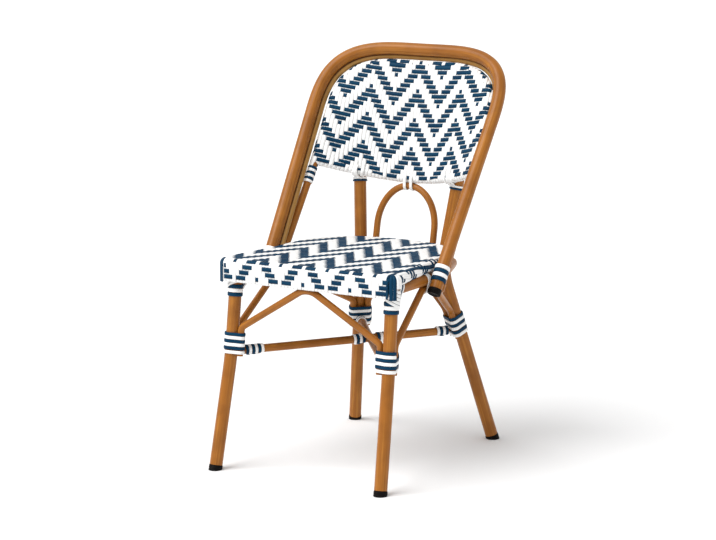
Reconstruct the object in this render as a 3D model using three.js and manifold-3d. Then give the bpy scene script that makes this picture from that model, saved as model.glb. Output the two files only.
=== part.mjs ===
// A woven bistro side chair: bent tube frame, woven seat and back, joints bound with two strands.
// Millimetres, +Z up, the sitter faces -Y. Y is zero midway between the front and the rear feet.
import * as THREE from 'three';
import { mergeVertices } from 'three/addons/utils/BufferGeometryUtils.js';
import Module from 'manifold-3d';

// Clearances and mesh fineness
const seatGap = 0.3;
const mergeShare = 0.004;
const overrun = 40;
const roundSides = 10;
const boreSides = 8;
const rodSides = 8;

// Tube sizes: outer radii and walls
const legRadius = 14;
const legWall = 1.6;
const bowRadius = 14;
const bowWall = 1.6;
const trimRadius = 5.5;
const hoopRadius = 8.5;
const braceRadius = 7.5;
const archRadius = 7.5;
const stretcherRadius = 9;
const sideRailRadius = 12.5;
const frontRailRadius = 9.5;
const rearRailRadius = 10;
const bottomRailRadius = 8.5;

// Front legs: half spacing, depth and height of the foot, the bend and the top
const frontFoot = { half: 205.5, y: -272.1 };
const frontBend = { half: 195.3, y: -222.5, z: 243.2 };
const frontTop = { half: 192.4, y: -201.8 };
const frontBendReach = 30;

// Rear legs: the foot, the bend under the seat and the post's top behind the back panel
const rearFoot = { half: 181, y: 272.1 };
const rearBend = { half: 103.7, y: 169.8, drop: 59.4 };
const rearTop = { half: 126.3, y: 202.8, rise: 142 };
const rearBendReach = 45;

// Foot caps
const capHeight = 11;
const capRadius = 14.8;
const capEdge = 2;
const spigotLength = 14;

// Seat panel: heights, plan and edge roll
const seatFrontY = -237;
const seatRearY = 175;
const seatHeight = 457;
const seatBackHalf = 196.5;
const seatFlare = 24.5;
const seatFrontHalf = seatBackHalf + seatFlare;
const seatWaistY = -50;
const seatCorner = 20;
const seatPower = 2.8;
const rollTurn = 200;
const rollSteps = 6;
const barEndShare = 0.97;
const seatThickness = 27;
const weaveThickness = 2.2;
const sheetRim = 4;
const seatBarRadius = 8;
const seatBarHalf = 75;

// Woven apron over the front rail
const apronBottom = 405;
const apronThickness = 2.5;
const apronReturn = 26;
const apronLap = 5;

// Back bow, laid out in a plane that leans back from the seat
const bowLean = THREE.MathUtils.degToRad(33.5);
const bowBaseY = -31;
const bowBaseDrop = 17;
const bowAside = 18.8;
const bowSpread = 13.2;
const bowShoulder = 370;
const bowTop = 524.2;
const bowAcrossPower = 3.57;
const bowAlongPower = 2.63;
const bowTail = 52;
const limbShares = [0, 0.35, 0.7];
const bowBarrel = 15;
const barrelTop = 13;
const barrelBottom = 86;
const barrelPower = 1.9;
const plugLength = 4;
const plugAimShare = 0.01;

// Trim rod and inner hoop, measured from the bow's centreline towards the inside and the rear
const trimInward = 14;
const trimBehind = 14.3;
const hoopInward = 31;
const hoopBehind = 34;
const hoopBehindTop = 16;
const hoopTail = 37;

// Back panel
const railCentreUp = 255.6;
const railCornerUp = 241.6;
const panelThickness = 3;

// Arch under the back panel
const archHalf = 73;
const archFlat = 22;
const archFootY = 181.5;
const archTopY = 207;
const archRise = 90;

// Braces and stretchers
const stretcherZ = { front: 252, rear: 258 };
const railBendReach = 60;
const railEndTurn = THREE.MathUtils.degToRad(36.87);
const braceTurn = THREE.MathUtils.degToRad(8.92);
const studRadius = 2;
const kneeReach = 8;
const kneeRoom = 4;
const crownReach = 12;
const braceCrownHalf = 13;
const sideCrownStart = -64;
const sideCrownEnd = -14;

// Bindings: strand and bands
const strandThickness = 2.2;
const strandGap = 0.6;
const strandClearance = 0.3;
const bendSlack = 0.9;
const climbTurn = Math.PI / 2;
const legBand = 7.5;
const frontBands = { above: 5, below: 1 };
const rearBands = { above: 4, below: 2 };
const wrapSteps = 8;
const bowWrapSteps = 12;
const studRoom = 4.8;
const stretcherBand = 7;
const frontWraps = 6;
const rearWraps = 4;
const topBand = 8.8;
const topBindingDrop = 60;
const bowBand = 9.2;
const bowBands = 4;
const bowWrapUp = 6;
const cornerBand = 6.7;
const cornerDrop = 8;
const tieBand = 8;
const crossOffset = 14;
const freeTurnShare = 0.75;

const navy = { color: 0x0c3e64, roughness: 0.45 };
const white = { color: 0xf4f4f0, roughness: 0.5 };
const wood = { color: 0xb87a40, roughness: 0.42 };
const black = { color: 0x191514, roughness: 0.6 };

const wasm = await Module();
wasm.setup();

const chair = new THREE.Group();

function v3(x, y, z) {
  return new THREE.Vector3(x, y, z);
}

function add(name, geometry, look) {
  const material = new THREE.MeshStandardMaterial({ ...look, metalness: 0 });
  const mesh = new THREE.Mesh(geometry, material);
  mesh.name = name;
  chair.add(mesh);
  return mesh;
}

// Solids for joining and cutting
function toSolid(geometry) {
  const bare = geometry.clone();
  bare.deleteAttribute('normal');
  bare.deleteAttribute('uv');
  const merged = mergeVertices(bare, seatGap * mergeShare);
  const vertProperties = new Float32Array(merged.attributes.position.array);
  const triVerts = new Uint32Array(merged.index.array);
  return new wasm.Manifold(new wasm.Mesh({ numProp: 3, vertProperties, triVerts }));
}

function fromSolid(solid) {
  const mesh = solid.getMesh();
  const points = [];
  for (let i = 0; i < mesh.numVert; i += 1) {
    points.push(...mesh.vertProperties.slice(i * mesh.numProp, i * mesh.numProp + 3));
  }
  return indexed(points, [...mesh.triVerts]);
}

function indexed(points, faces) {
  const geometry = new THREE.BufferGeometry();
  geometry.setAttribute('position', new THREE.Float32BufferAttribute(points, 3));
  geometry.setIndex(faces);
  geometry.computeVertexNormals();
  return geometry;
}

// Tubes along a path
function circleShape(radius, sides, bore) {
  const corners = (r, n) => Array.from({ length: n }, (_, i) => {
    const turn = 2 * Math.PI * i / n;
    return new THREE.Vector2(r * Math.cos(turn), r * Math.sin(turn));
  });
  const shape = new THREE.Shape(corners(radius, sides));
  if (bore > 0) {
    shape.holes.push(new THREE.Path(corners(bore, boreSides).reverse()));
  }
  return shape;
}

function tube(path, radius, sides, steps, bore = 0) {
  const shape = circleShape(radius, sides, bore);
  return new THREE.ExtrudeGeometry(shape, { steps, bevelEnabled: false, extrudePath: path });
}

function roundedPath(points, bends) {
  const path = new THREE.CurvePath();
  let from = points[0];
  for (let i = 1; i < points.length - 1; i += 1) {
    const corner = points[i];
    const back = points[i - 1].clone().sub(corner);
    const ahead = points[i + 1].clone().sub(corner);
    const reach = bends[(i - 1) % bends.length];
    const start = corner.clone().add(back.setLength(reach));
    const end = corner.clone().add(ahead.setLength(reach));
    path.add(new THREE.LineCurve3(from, start));
    path.add(new THREE.QuadraticBezierCurve3(start, corner, end));
    from = end;
  }
  path.add(new THREE.LineCurve3(from, points[points.length - 1]));
  return path;
}

function boreFit(radius, wall) {
  return (radius - wall) * Math.cos(Math.PI / boreSides) - seatGap;
}

function alongLine(from, to, distance) {
  return to.clone().sub(from).setLength(distance).add(from);
}

function aim(mesh, from, to) {
  const direction = to.clone().sub(from).normalize();
  mesh.quaternion.setFromUnitVectors(v3(0, 1, 0), direction);
  mesh.position.copy(from);
  return mesh;
}

function latheOf(pairs, segments) {
  return new THREE.LatheGeometry(pairs.map(([r, h]) => new THREE.Vector2(r, h)), segments);
}

// Seat plan outline
const rollRadius = seatThickness / 2;
const seatFrameRadius = rollRadius - weaveThickness - seatGap;

function superellipse(turn, acrossPower, alongPower) {
  const across = Math.abs(Math.cos(turn)) ** (2 / acrossPower) * Math.sign(Math.cos(turn));
  const along = Math.abs(Math.sin(turn)) ** (2 / alongPower);
  return [across, along];
}

// Closed plan outline, anticlockwise, with its outward normals
function seatOutline(inset) {
  const arcSteps = 4;
  const capSteps = 18;
  const raw = [];
  const cornerAt = (side, i) => {
    const turn = side > 0 ? -Math.PI / 2 + i * Math.PI / 2 / arcSteps : Math.PI + i * Math.PI / 2 / arcSteps;
    const x = side * (seatFrontHalf - seatCorner) + seatCorner * Math.cos(turn);
    const y = seatFrontY + seatCorner + seatCorner * Math.sin(turn);
    raw.push([x, y]);
  };
  for (let i = 0; i <= arcSteps; i += 1) {
    cornerAt(1, i);
  }
  for (let i = 0; i <= capSteps; i += 1) {
    const [across, along] = superellipse(Math.PI * i / capSteps, seatPower, seatPower);
    raw.push([across * seatBackHalf, seatWaistY + along * (seatRearY - seatWaistY)]);
  }
  for (let i = 0; i <= arcSteps; i += 1) {
    cornerAt(-1, i);
  }
  return raw.map((point, i) => {
    const before = raw[(i + raw.length - 1) % raw.length];
    const after = raw[(i + 1) % raw.length];
    const normal = new THREE.Vector2(after[1] - before[1], before[0] - after[0]).normalize();
    return { x: point[0] - inset * normal.x, y: point[1] - inset * normal.y, normal };
  });
}

// Points of an outline swept by a section in its outward and upward directions
function sweepSection(outline, section) {
  const points = [];
  for (const spot of outline) {
    for (const [out, up] of section) {
      points.push(spot.x + out * spot.normal.x, spot.y + out * spot.normal.y, up);
    }
  }
  return points;
}

function sweepFaces(count, size, closed) {
  const faces = [];
  const last = closed ? size : size - 1;
  for (let i = 0; i < count; i += 1) {
    const next = (i + 1) % count;
    for (let j = 0; j < last; j += 1) {
      const k = (j + 1) % size;
      const a = i * size + j;
      const b = next * size + j;
      const c = next * size + k;
      const d = i * size + k;
      faces.push(a, b, c, a, c, d);
    }
  }
  return faces;
}

function arcSection(radius, from, to, steps) {
  return Array.from({ length: steps + 1 }, (_, i) => {
    const turn = THREE.MathUtils.degToRad(from + (to - from) * i / steps);
    return [radius * Math.cos(turn), radius * Math.sin(turn)];
  });
}

function capFaces(outline, size, index, facingUp) {
  const contour = outline.map((spot) => new THREE.Vector2(spot.x, spot.y));
  const faces = [];
  for (const [a, b, c] of THREE.ShapeUtils.triangulateShape(contour, [])) {
    const [p, q, r] = [a, b, c].map((k) => k * size + index);
    faces.push(...(facingUp ? [p, q, r] : [p, r, q]));
  }
  return faces;
}

// The seat's hidden ring and its two bars
function seatFrameGeometry() {
  const outline = seatOutline(rollRadius);
  const section = arcSection(seatFrameRadius, 0, 360, rodSides).slice(0, rodSides);
  const ring = toSolid(indexed(sweepSection(outline, section), sweepFaces(outline.length, rodSides, true)));
  let frame = ring;
  for (const side of [-1, 1]) {
    const rearY = seatWaistY + (seatRearY - seatWaistY) * barEndShare - rollRadius;
    const from = v3(side * seatBarHalf, seatFrontY + rollRadius, 0);
    const to = v3(side * seatBarHalf, rearY, 0);
    const bar = tube(new THREE.LineCurve3(from, to), seatBarRadius, rodSides, 1);
    frame = frame.add(toSolid(bar));
  }
  return fromSolid(frame).translate(0, 0, seatHeight - rollRadius);
}

// The woven seat: a sheet that rolls over the ring, and an apron over the front rail
function seatWeaveGeometry() {
  const outline = seatOutline(rollRadius);
  const inner = rollRadius - weaveThickness;
  const hollow = inner / Math.cos(THREE.MathUtils.degToRad(rollTurn / rollSteps / 2));
  const section = [[-sheetRim, inner], ...arcSection(hollow, 90, 90 - rollTurn, rollSteps)];
  section.push(...arcSection(rollRadius, 90 - rollTurn, 90, rollSteps), [-sheetRim, rollRadius]);
  const points = sweepSection(outline, section);
  const faces = sweepFaces(outline.length, section.length, false);
  const rim = seatOutline(rollRadius + sheetRim);
  faces.push(...capFaces(rim, section.length, section.length - 1, true));
  faces.push(...capFaces(rim, section.length, 0, false));
  const sheet = indexed(points, faces).translate(0, 0, seatHeight - rollRadius);
  return fromSolid(toSolid(sheet).add(toSolid(apronGeometry())));
}

function apronOutline(inset) {
  const half = seatFrontHalf - inset;
  const corner = seatCorner - inset;
  const front = seatFrontY + inset;
  const back = seatFrontY + apronReturn;
  const shape = new THREE.Path();
  shape.moveTo(-half, back);
  shape.absarc(-half + corner, front + corner, corner, Math.PI, 1.5 * Math.PI, false);
  shape.absarc(half - corner, front + corner, corner, 1.5 * Math.PI, 2 * Math.PI, false);
  shape.lineTo(half, back);
  return shape.getPoints(4);
}

function apronGeometry() {
  const ring = [...apronOutline(0), ...apronOutline(apronThickness).reverse()];
  const top = seatHeight - rollRadius - apronLap;
  const depth = top - apronBottom;
  const geometry = new THREE.ExtrudeGeometry(new THREE.Shape(ring), { depth, bevelEnabled: false });
  return geometry.translate(0, 0, apronBottom);
}

add('seat_frame', seatFrameGeometry(), wood);
add('seat_weave', seatWeaveGeometry(), white);

const bowBaseZ = seatHeight - bowBaseDrop;
const bowBaseHalf = seatBackHalf + bowAside;
const bowHalf = bowBaseHalf + bowSpread;

// Places on the leaning plane of the back
function backPoint(x, up, behind) {
  const y = bowBaseY + up * Math.sin(bowLean) + behind * Math.cos(bowLean);
  const z = bowBaseZ + up * Math.cos(bowLean) - behind * Math.sin(bowLean);
  return v3(x, y, z);
}

function barrel(x, half, depth) {
  return depth * (1 - Math.min(1, Math.abs(x) / half) ** barrelPower);
}

// A rounded arch from one tail over the top to the other
function archPoints({ tail, baseHalf, half, shoulder, top, behindAt, depth }) {
  const capSteps = 20;
  const limb = limbShares.map((share) => -tail + (shoulder + tail) * share);
  const right = limb.map((up) => [baseHalf + (half - baseHalf) * up / shoulder, up]);
  const points = [];
  for (const [x, up] of right) {
    points.push(backPoint(x, up, behindAt(up)));
  }
  for (let i = 0; i <= capSteps; i += 1) {
    const [across, along] = superellipse(Math.PI * i / capSteps, bowAcrossPower, bowAlongPower);
    const x = across * half;
    const up = shoulder + along * (top - shoulder);
    points.push(backPoint(x, up, behindAt(up) + barrel(x, half, depth)));
  }
  for (const [x, up] of right.reverse()) {
    points.push(backPoint(-x, up, behindAt(up)));
  }
  return points;
}

const bowShape = {
  tail: bowTail,
  baseHalf: bowBaseHalf,
  half: bowHalf,
  shoulder: bowShoulder,
  top: bowTop,
  behindAt: () => 0,
  depth: bowBarrel,
};
const bowPath = new THREE.CatmullRomCurve3(archPoints(bowShape), false, 'centripetal');
add('back_bow', tube(bowPath, bowRadius, roundSides, 40, bowRadius - bowWall), wood);

const trimPath = new THREE.CatmullRomCurve3(archPoints({
  ...bowShape,
  baseHalf: bowBaseHalf - trimInward,
  half: bowHalf - trimInward,
  top: bowTop - trimInward,
  behindAt: () => trimBehind,
  tail: -bowBaseDrop,
}), false, 'centripetal');
add('trim_rod', tube(trimPath, trimRadius, 6, 40), wood);

function plug(name, end, inside) {
  const bore = boreFit(bowRadius, bowWall);
  const profile = [[0, 0], [bowRadius - seatGap, 0], [bowRadius - seatGap, plugLength], [bore, plugLength]];
  profile.push([bore, plugLength + spigotLength], [0, plugLength + spigotLength]);
  const outer = alongLine(end, inside, -plugLength - seatGap);
  aim(add(name, latheOf(profile, roundSides), black), outer, end);
}

const bowEnds = { right: bowPath.getPointAt(0), left: bowPath.getPointAt(1) };
plug('bow_plug_right', bowEnds.right, bowPath.getPointAt(plugAimShare));
plug('bow_plug_left', bowEnds.left, bowPath.getPointAt(1 - plugAimShare));

// Where the bow passes the side rail, and the rail's place beside it
const railDrop = seatThickness + seatGap + sideRailRadius;
const railZ = seatHeight - railDrop;
const crossUp = (railZ - bowBaseZ) / Math.cos(bowLean);
const crossPoint = backPoint(bowBaseHalf + (bowHalf - bowBaseHalf) * crossUp / bowShoulder, crossUp, 0);
const bowWrapReach = bowRadius + strandClearance + strandThickness;
const railHalf = crossPoint.x - bowWrapReach - sideRailRadius - seatGap;
const railFlat = sideRailRadius * Math.cos(Math.PI / roundSides);
const hoopHalf = railHalf + railFlat + hoopRadius + seatGap;

function hoopDepth(up) {
  const share = THREE.MathUtils.clamp((up - railCentreUp) / (bowTop - hoopInward - railCentreUp), 0, 1);
  return hoopBehind + (hoopBehindTop - hoopBehind) * share;
}

const hoopShape = {
  tail: hoopTail,
  baseHalf: hoopHalf,
  half: bowHalf - hoopInward,
  shoulder: bowShoulder,
  top: bowTop - hoopInward,
  behindAt: hoopDepth,
  depth: barrelTop,
};
const hoopPath = new THREE.CatmullRomCurve3(archPoints(hoopShape), false, 'centripetal');
add('back_hoop', tube(hoopPath, hoopRadius, rodSides, 40), wood);

// The back panel's curved surface through the centres of the hoop and the bottom rail
function limbHalf(up) {
  const share = Math.min(up, bowShoulder) / bowShoulder;
  return hoopHalf + (hoopShape.half - hoopHalf) * share;
}

const cornerHalf = limbHalf(railCornerUp);

function railUp(x) {
  return railCentreUp + (railCornerUp - railCentreUp) * (x / cornerHalf) ** 2;
}

function panelTop(x, half, top) {
  const across = Math.min(1, Math.abs(x) / half);
  const along = (1 - across ** bowAcrossPower) ** (1 / bowAlongPower);
  return bowShoulder + along * (top - bowShoulder);
}

function panelDepth(x, up) {
  const high = panelTop(x, hoopShape.half, hoopShape.top);
  const share = THREE.MathUtils.clamp((up - railCentreUp) / (high - railCentreUp), 0, 1);
  const depth = barrelBottom + (barrelTop - barrelBottom) * share;
  return hoopDepth(up) + barrel(x, limbHalf(up), depth);
}

const bottomSteps = 4;
const endSlope = Math.atan(barrelBottom * barrelPower / cornerHalf);
const bottomHalf = cornerHalf - (hoopRadius + 3 * seatGap) * Math.cos(endSlope);
const bottomPoints = [];
for (let i = 0; i <= 2 * bottomSteps; i += 1) {
  const x = bottomHalf * (1 - i / bottomSteps);
  bottomPoints.push(backPoint(x, railUp(x), panelDepth(x, railUp(x))));
}
const bottomPath = new THREE.CatmullRomCurve3(bottomPoints, false, 'centripetal');
add('back_bottom_rail', tube(bottomPath, bottomRailRadius, rodSides, 14), wood);

// Direction from that surface to the front
function panelNormal(x, up) {
  const step = seatGap;
  const across = backPoint(x + step, up, panelDepth(x + step, up));
  across.sub(backPoint(x - step, up, panelDepth(x - step, up)));
  const along = backPoint(x, up + step, panelDepth(x, up + step));
  along.sub(backPoint(x, up - step, panelDepth(x, up - step)));
  return across.cross(along).normalize();
}

// The woven sheet lies on the front of the hoop and ends above the bottom rail's tie
function backWeaveGeometry() {
  const columns = 20;
  const rows = 8;
  const reach = Math.max(hoopRadius, bottomRailRadius) + 2 * seatGap + panelThickness / 2;
  const points = [];
  for (const face of [1, -1]) {
    for (let i = 0; i <= columns; i += 1) {
      const share = Math.sin(Math.PI * (i / columns - 1 / 2));
      const low = railUp(share * cornerHalf) + bottomRailRadius + strandThickness + 4 * seatGap;
      const high = panelTop(share, 1, hoopShape.top - 2 * seatGap);
      for (let j = 0; j <= rows; j += 1) {
        const up = low + (high - low) * j / rows;
        const x = share * (limbHalf(up) - 2 * seatGap);
        const spot = backPoint(x, up, panelDepth(x, up));
        spot.addScaledVector(panelNormal(x, up), reach + face * panelThickness / 2);
        points.push(spot.x, spot.y, spot.z);
      }
    }
  }
  return indexed(points, sheetFaces(columns, rows));
}

// A closed sheet: a front and a back grid and the four strips between them
function sheetFaces(columns, rows) {
  const stride = rows + 1;
  const back = (columns + 1) * stride;
  const faces = [];
  const quad = (a, b, c, d) => faces.push(a, b, c, a, c, d);
  for (let i = 0; i < columns; i += 1) {
    for (let j = 0; j < rows; j += 1) {
      const a = i * stride + j;
      quad(a, a + stride, a + stride + 1, a + 1);
      quad(back + a, back + a + 1, back + a + stride + 1, back + a + stride);
    }
    const low = i * stride;
    const high = low + rows;
    quad(low, low + back, low + stride + back, low + stride);
    quad(high, high + stride, high + stride + back, high + back);
  }
  for (let j = 0; j < rows; j += 1) {
    const far = columns * stride + j;
    quad(j, j + 1, j + 1 + back, j + back);
    quad(far, far + back, far + 1 + back, far + 1);
  }
  return faces;
}

add('back_weave', backWeaveGeometry(), white);

// Legs: paths for the right side, mirrored for the left
function onSide(side, point) {
  return v3(side * point.x, point.y, point.z);
}

const frontTopLow = seatHeight - seatThickness - seatGap;
const frontTopLean = (frontTop.y - frontBend.y) / (frontTopLow - frontBend.z);
const frontTopZ = frontTopLow - legRadius * frontTopLean;
const frontLine = [
  v3(frontFoot.half, frontFoot.y, 0),
  v3(frontBend.half, frontBend.y, frontBend.z),
  v3(frontTop.half, frontTop.y, frontTopZ),
];
const rearLine = [
  v3(rearFoot.half, rearFoot.y, 0),
  v3(rearBend.half, rearBend.y, seatHeight - rearBend.drop),
  v3(rearTop.half, rearTop.y, seatHeight + rearTop.rise),
];

const frontPath = roundedPath(frontLine, [frontBendReach]);
const rearPath = roundedPath(rearLine, [rearBendReach]);

// Centre of a bent leg at a height
function pathAt(path, z) {
  let low = 0;
  let high = 1;
  for (let i = 0; i < 30; i += 1) {
    const middle = (low + high) / 2;
    if (path.getPoint(middle).z < z) {
      low = middle;
    } else {
      high = middle;
    }
  }
  return path.getPoint(low);
}

// How far from a leg's centre a cross rail ends
function railReach(legY, railY, radius) {
  const aside = Math.max(0, Math.abs(legY - railY) - radius);
  return Math.sqrt(legRadius * legRadius - aside * aside) + seatGap;
}

function onLeg(line, z) {
  const upper = z > line[1].z;
  const a = upper ? line[1] : line[0];
  const b = upper ? line[2] : line[1];
  return a.clone().lerp(b, (z - a.z) / (b.z - a.z));
}

function footCap(name, foot, above) {
  const bore = boreFit(legRadius, legWall);
  const axis = above.clone().sub(foot).normalize();
  const below = foot.clone().addScaledVector(axis, -capHeight);
  const top = 2 * capHeight - seatGap;
  const profile = [[0, 0], [capRadius, 0], [capRadius, top - capEdge], [capRadius - capEdge, top]];
  profile.push([bore, top], [bore, top + spigotLength], [0, top + spigotLength]);
  const body = new THREE.Mesh(latheOf(profile, roundSides));
  aim(body, below, foot);
  body.updateMatrix();
  const solid = toSolid(body.geometry.clone().applyMatrix4(body.matrix));
  const floor = new THREE.BoxGeometry(overrun * 2, overrun * 2, overrun);
  floor.translate(foot.x, foot.y, -overrun / 2);
  add(name, fromSolid(solid.subtract(toSolid(floor))), black);
}

function leg(name, line, side, bend, steps) {
  const points = line.map((point) => onSide(side, point));
  footCap(`${name}_cap`, points[0], points[1]);
  points[0] = alongLine(points[0], points[1], capHeight);
  add(name, tube(roundedPath(points, [bend]), legRadius, roundSides, steps, legRadius - legWall), wood);
}

for (const [side, word] of [[1, 'right'], [-1, 'left']]) {
  leg(`front_leg_${word}`, frontLine, side, frontBendReach, 9);
  leg(`rear_leg_${word}`, rearLine, side, rearBendReach, 12);
}

// Rails under the seat
const frontRailY = seatFrontY + apronThickness + seatGap + frontRailRadius;
const frontRailZ = seatHeight - seatThickness - seatGap - frontRailRadius;
const frontAtRail = pathAt(frontPath, frontRailZ);
const frontRailHalf = frontAtRail.x - railReach(frontAtRail.y, frontRailY, frontRailRadius);
const frontRailLine = new THREE.LineCurve3(
  v3(-frontRailHalf, frontRailY, frontRailZ),
  v3(frontRailHalf, frontRailY, frontRailZ),
);
add('front_rail', tube(frontRailLine, frontRailRadius, roundSides, 1), wood);

const rearRollY = seatRearY - rollRadius;
const rearRailReach = rollRadius + rearRailRadius + 2 * seatGap;
const rearRailSink = Math.sqrt(rearRailReach ** 2 - (archFootY - rearRollY) ** 2);
const rearRailZ = seatHeight - rollRadius - rearRailSink;
const rearAtRail = pathAt(rearPath, rearRailZ);
const rearRailHalf = rearAtRail.x - railReach(rearAtRail.y, archFootY, rearRailRadius);
const rearRailLine = new THREE.LineCurve3(
  v3(-rearRailHalf, archFootY, rearRailZ),
  v3(rearRailHalf, archFootY, rearRailZ),
);
add('rear_rail', tube(rearRailLine, rearRailRadius, roundSides, 1), wood);

function sideRailPath(side) {
  const legAtRail = pathAt(rearPath, railZ);
  const aimIn = v3(1, 0, 0).applyAxisAngle(v3(0, 0, 1), -railEndTurn);
  const end = legAtRail.clone().addScaledVector(aimIn, legRadius + seatGap);
  const approach = legAtRail.clone().addScaledVector(aimIn, legRadius + 2 * sideRailRadius);
  const startY = onLeg(frontLine, railZ).y + legRadius + 3 * seatGap;
  const turnY = seatWaistY + (seatRearY - seatWaistY) / 3;
  const plan = [v3(railHalf, startY, 0), v3(railHalf, turnY, 0), approach, end];
  const points = plan.map((spot) => v3(side * spot.x, spot.y, railZ));
  return roundedPath(points, [railBendReach, seatGap]);
}

for (const [side, word] of [[1, 'right'], [-1, 'left']]) {
  add(`side_rail_${word}`, tube(sideRailPath(side), sideRailRadius, roundSides, 12), wood);
}

// Arch between the seat and the back panel
const archFootZ = rearRailZ + rearRailRadius + seatGap;
const archTopZ = (() => {
  const rail = bottomPath.getPointAt(0.5);
  return rail.z - bottomRailRadius - seatGap - archRadius;
})();

function archCurve() {
  const crownSteps = 6;
  const lean = (archTopY - archFootY) / (archTopZ - archFootZ);
  const at = (x, z) => v3(x, archFootY + (z - archFootZ) * lean, z);
  const knee = archTopZ - archRise;
  const right = [at(archHalf, archFootZ), at(archHalf, archFootZ + archFlat), at(archHalf, knee)];
  const crown = [];
  for (let i = 1; i < crownSteps; i += 1) {
    const turn = Math.PI * i / crownSteps;
    crown.push(at(archHalf * Math.cos(turn), knee + (archTopZ - knee) * Math.sin(turn)));
  }
  const left = right.map((spot) => v3(-spot.x, spot.y, spot.z)).reverse();
  return new THREE.CatmullRomCurve3([...right, ...crown, ...left], false, 'centripetal');
}

add('back_arch', tube(archCurve(), archRadius, rodSides, 22), wood);

// Braces end beside the legs, inside the bindings
const besideLeg = legRadius + seatGap + braceRadius;
const studExit = besideLeg * Math.SQRT1_2 + braceRadius + strandThickness / 2;

function bindingSpan(line, z, other, otherZ, bands) {
  const from = onLeg(line, z);
  const way = onSide(-1, onLeg(other, otherZ)).sub(from).normalize();
  const axis = onLeg(line, z - legBand).sub(onLeg(line, z + legBand)).normalize();
  const middle = z + studExit * way.dot(axis) * axis.z;
  const above = studRoom / 2 + bands.above * legBand;
  const below = studRoom / 2 + bands.below * legBand;
  return { middle, top: middle + above, foot: middle - below, start: -above, bands };
}

const frontSpan = bindingSpan(frontLine, stretcherZ.front, rearLine, stretcherZ.rear, frontBands);
const rearSpan = bindingSpan(rearLine, stretcherZ.rear, frontLine, stretcherZ.front, rearBands);

function besideAt(line, direction, z) {
  const axis = line[1].clone().sub(line[0]).normalize();
  const across = direction.clone().addScaledVector(axis, -direction.dot(axis)).normalize();
  return onLeg(line, z).addScaledVector(across, besideLeg);
}

const inward = v3(-1, 0, 0);
const rearward = v3(0, 1, 0);
const frontward = v3(0, -1, 0).applyAxisAngle(v3(0, 0, 1), braceTurn);

function tentPath(line, span, crownY, crownZ) {
  const foot = besideAt(line, inward, span.foot);
  const knee = besideAt(line, inward, span.top + kneeReach + kneeRoom);
  const crown = v3(braceCrownHalf, crownY, crownZ);
  const right = [foot, knee, crown];
  const left = right.map((spot) => onSide(-1, spot)).reverse();
  return roundedPath([...right, ...left], [kneeReach, crownReach, crownReach, kneeReach]);
}

const frontCrownZ = frontRailZ - frontRailRadius - seatGap - braceRadius;
const frontTent = tentPath(frontLine, frontSpan, frontRailY, frontCrownZ);
add('front_brace', tube(frontTent, braceRadius, rodSides, 26), wood);
const rearCrownZ = rearRailZ - rearRailRadius - seatGap - braceRadius;
const rearTent = tentPath(rearLine, rearSpan, archFootY, rearCrownZ);
add('rear_brace', tube(rearTent, braceRadius, rodSides, 26), wood);

function sideBracePath(side) {
  const crownDrop = sideRailRadius + seatGap + braceRadius;
  const kneeRise = kneeReach + kneeRoom;
  const points = [
    besideAt(frontLine, rearward, frontSpan.foot),
    besideAt(frontLine, rearward, frontSpan.top + kneeRise),
    v3(railHalf, sideCrownStart, railZ - crownDrop),
    v3(railHalf, sideCrownEnd, railZ - crownDrop),
    besideAt(rearLine, frontward, rearSpan.top + kneeRise),
    besideAt(rearLine, frontward, rearSpan.foot),
  ];
  const bends = [kneeReach, crownReach / 2, crownReach / 2, kneeReach];
  return roundedPath(points.map((spot) => onSide(side, spot)), bends);
}

for (const [side, word] of [[1, 'right'], [-1, 'left']]) {
  add(`side_brace_${word}`, tube(sideBracePath(side), braceRadius, rodSides, 26), wood);
}

// Bindings: a flat strand wound round a bundle of tubes, each tube given by a point, direction and radius
function bundleFrame(origin, axis, climbSide) {
  const w = axis.clone().normalize();
  const e1 = climbSide.clone().addScaledVector(w, -climbSide.dot(w)).normalize();
  e1.applyAxisAngle(w, climbTurn / 2);
  const e2 = w.clone().cross(e1);
  return { origin, w, e1, e2 };
}

// Outermost point of one tube's cut by the plane at a station, in one direction
function tubeSupport(frame, member, station, outward, grow) {
  const along = member.direction.dot(frame.w);
  const travel = (station - member.point.clone().sub(frame.origin).dot(frame.w)) / along;
  const centre = member.point.clone().addScaledVector(member.direction, travel);
  const slant = member.direction.clone().addScaledVector(frame.w, -along);
  const stretch = outward.dot(slant) / along;
  const reach = Math.sqrt(1 + stretch * stretch);
  const radius = (member.radius + strandClearance) * grow;
  const point = centre.addScaledVector(outward, radius / reach);
  return point.addScaledVector(slant, radius * stretch / reach / along);
}

function bundleChoice(frame, members, station, outward) {
  let best = 0;
  let far = -Infinity;
  members.forEach((member, i) => {
    const reach = tubeSupport(frame, member, station, outward, 1).sub(frame.origin).dot(outward);
    if (reach > far) {
      far = reach;
      best = i;
    }
  });
  return best;
}

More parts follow.
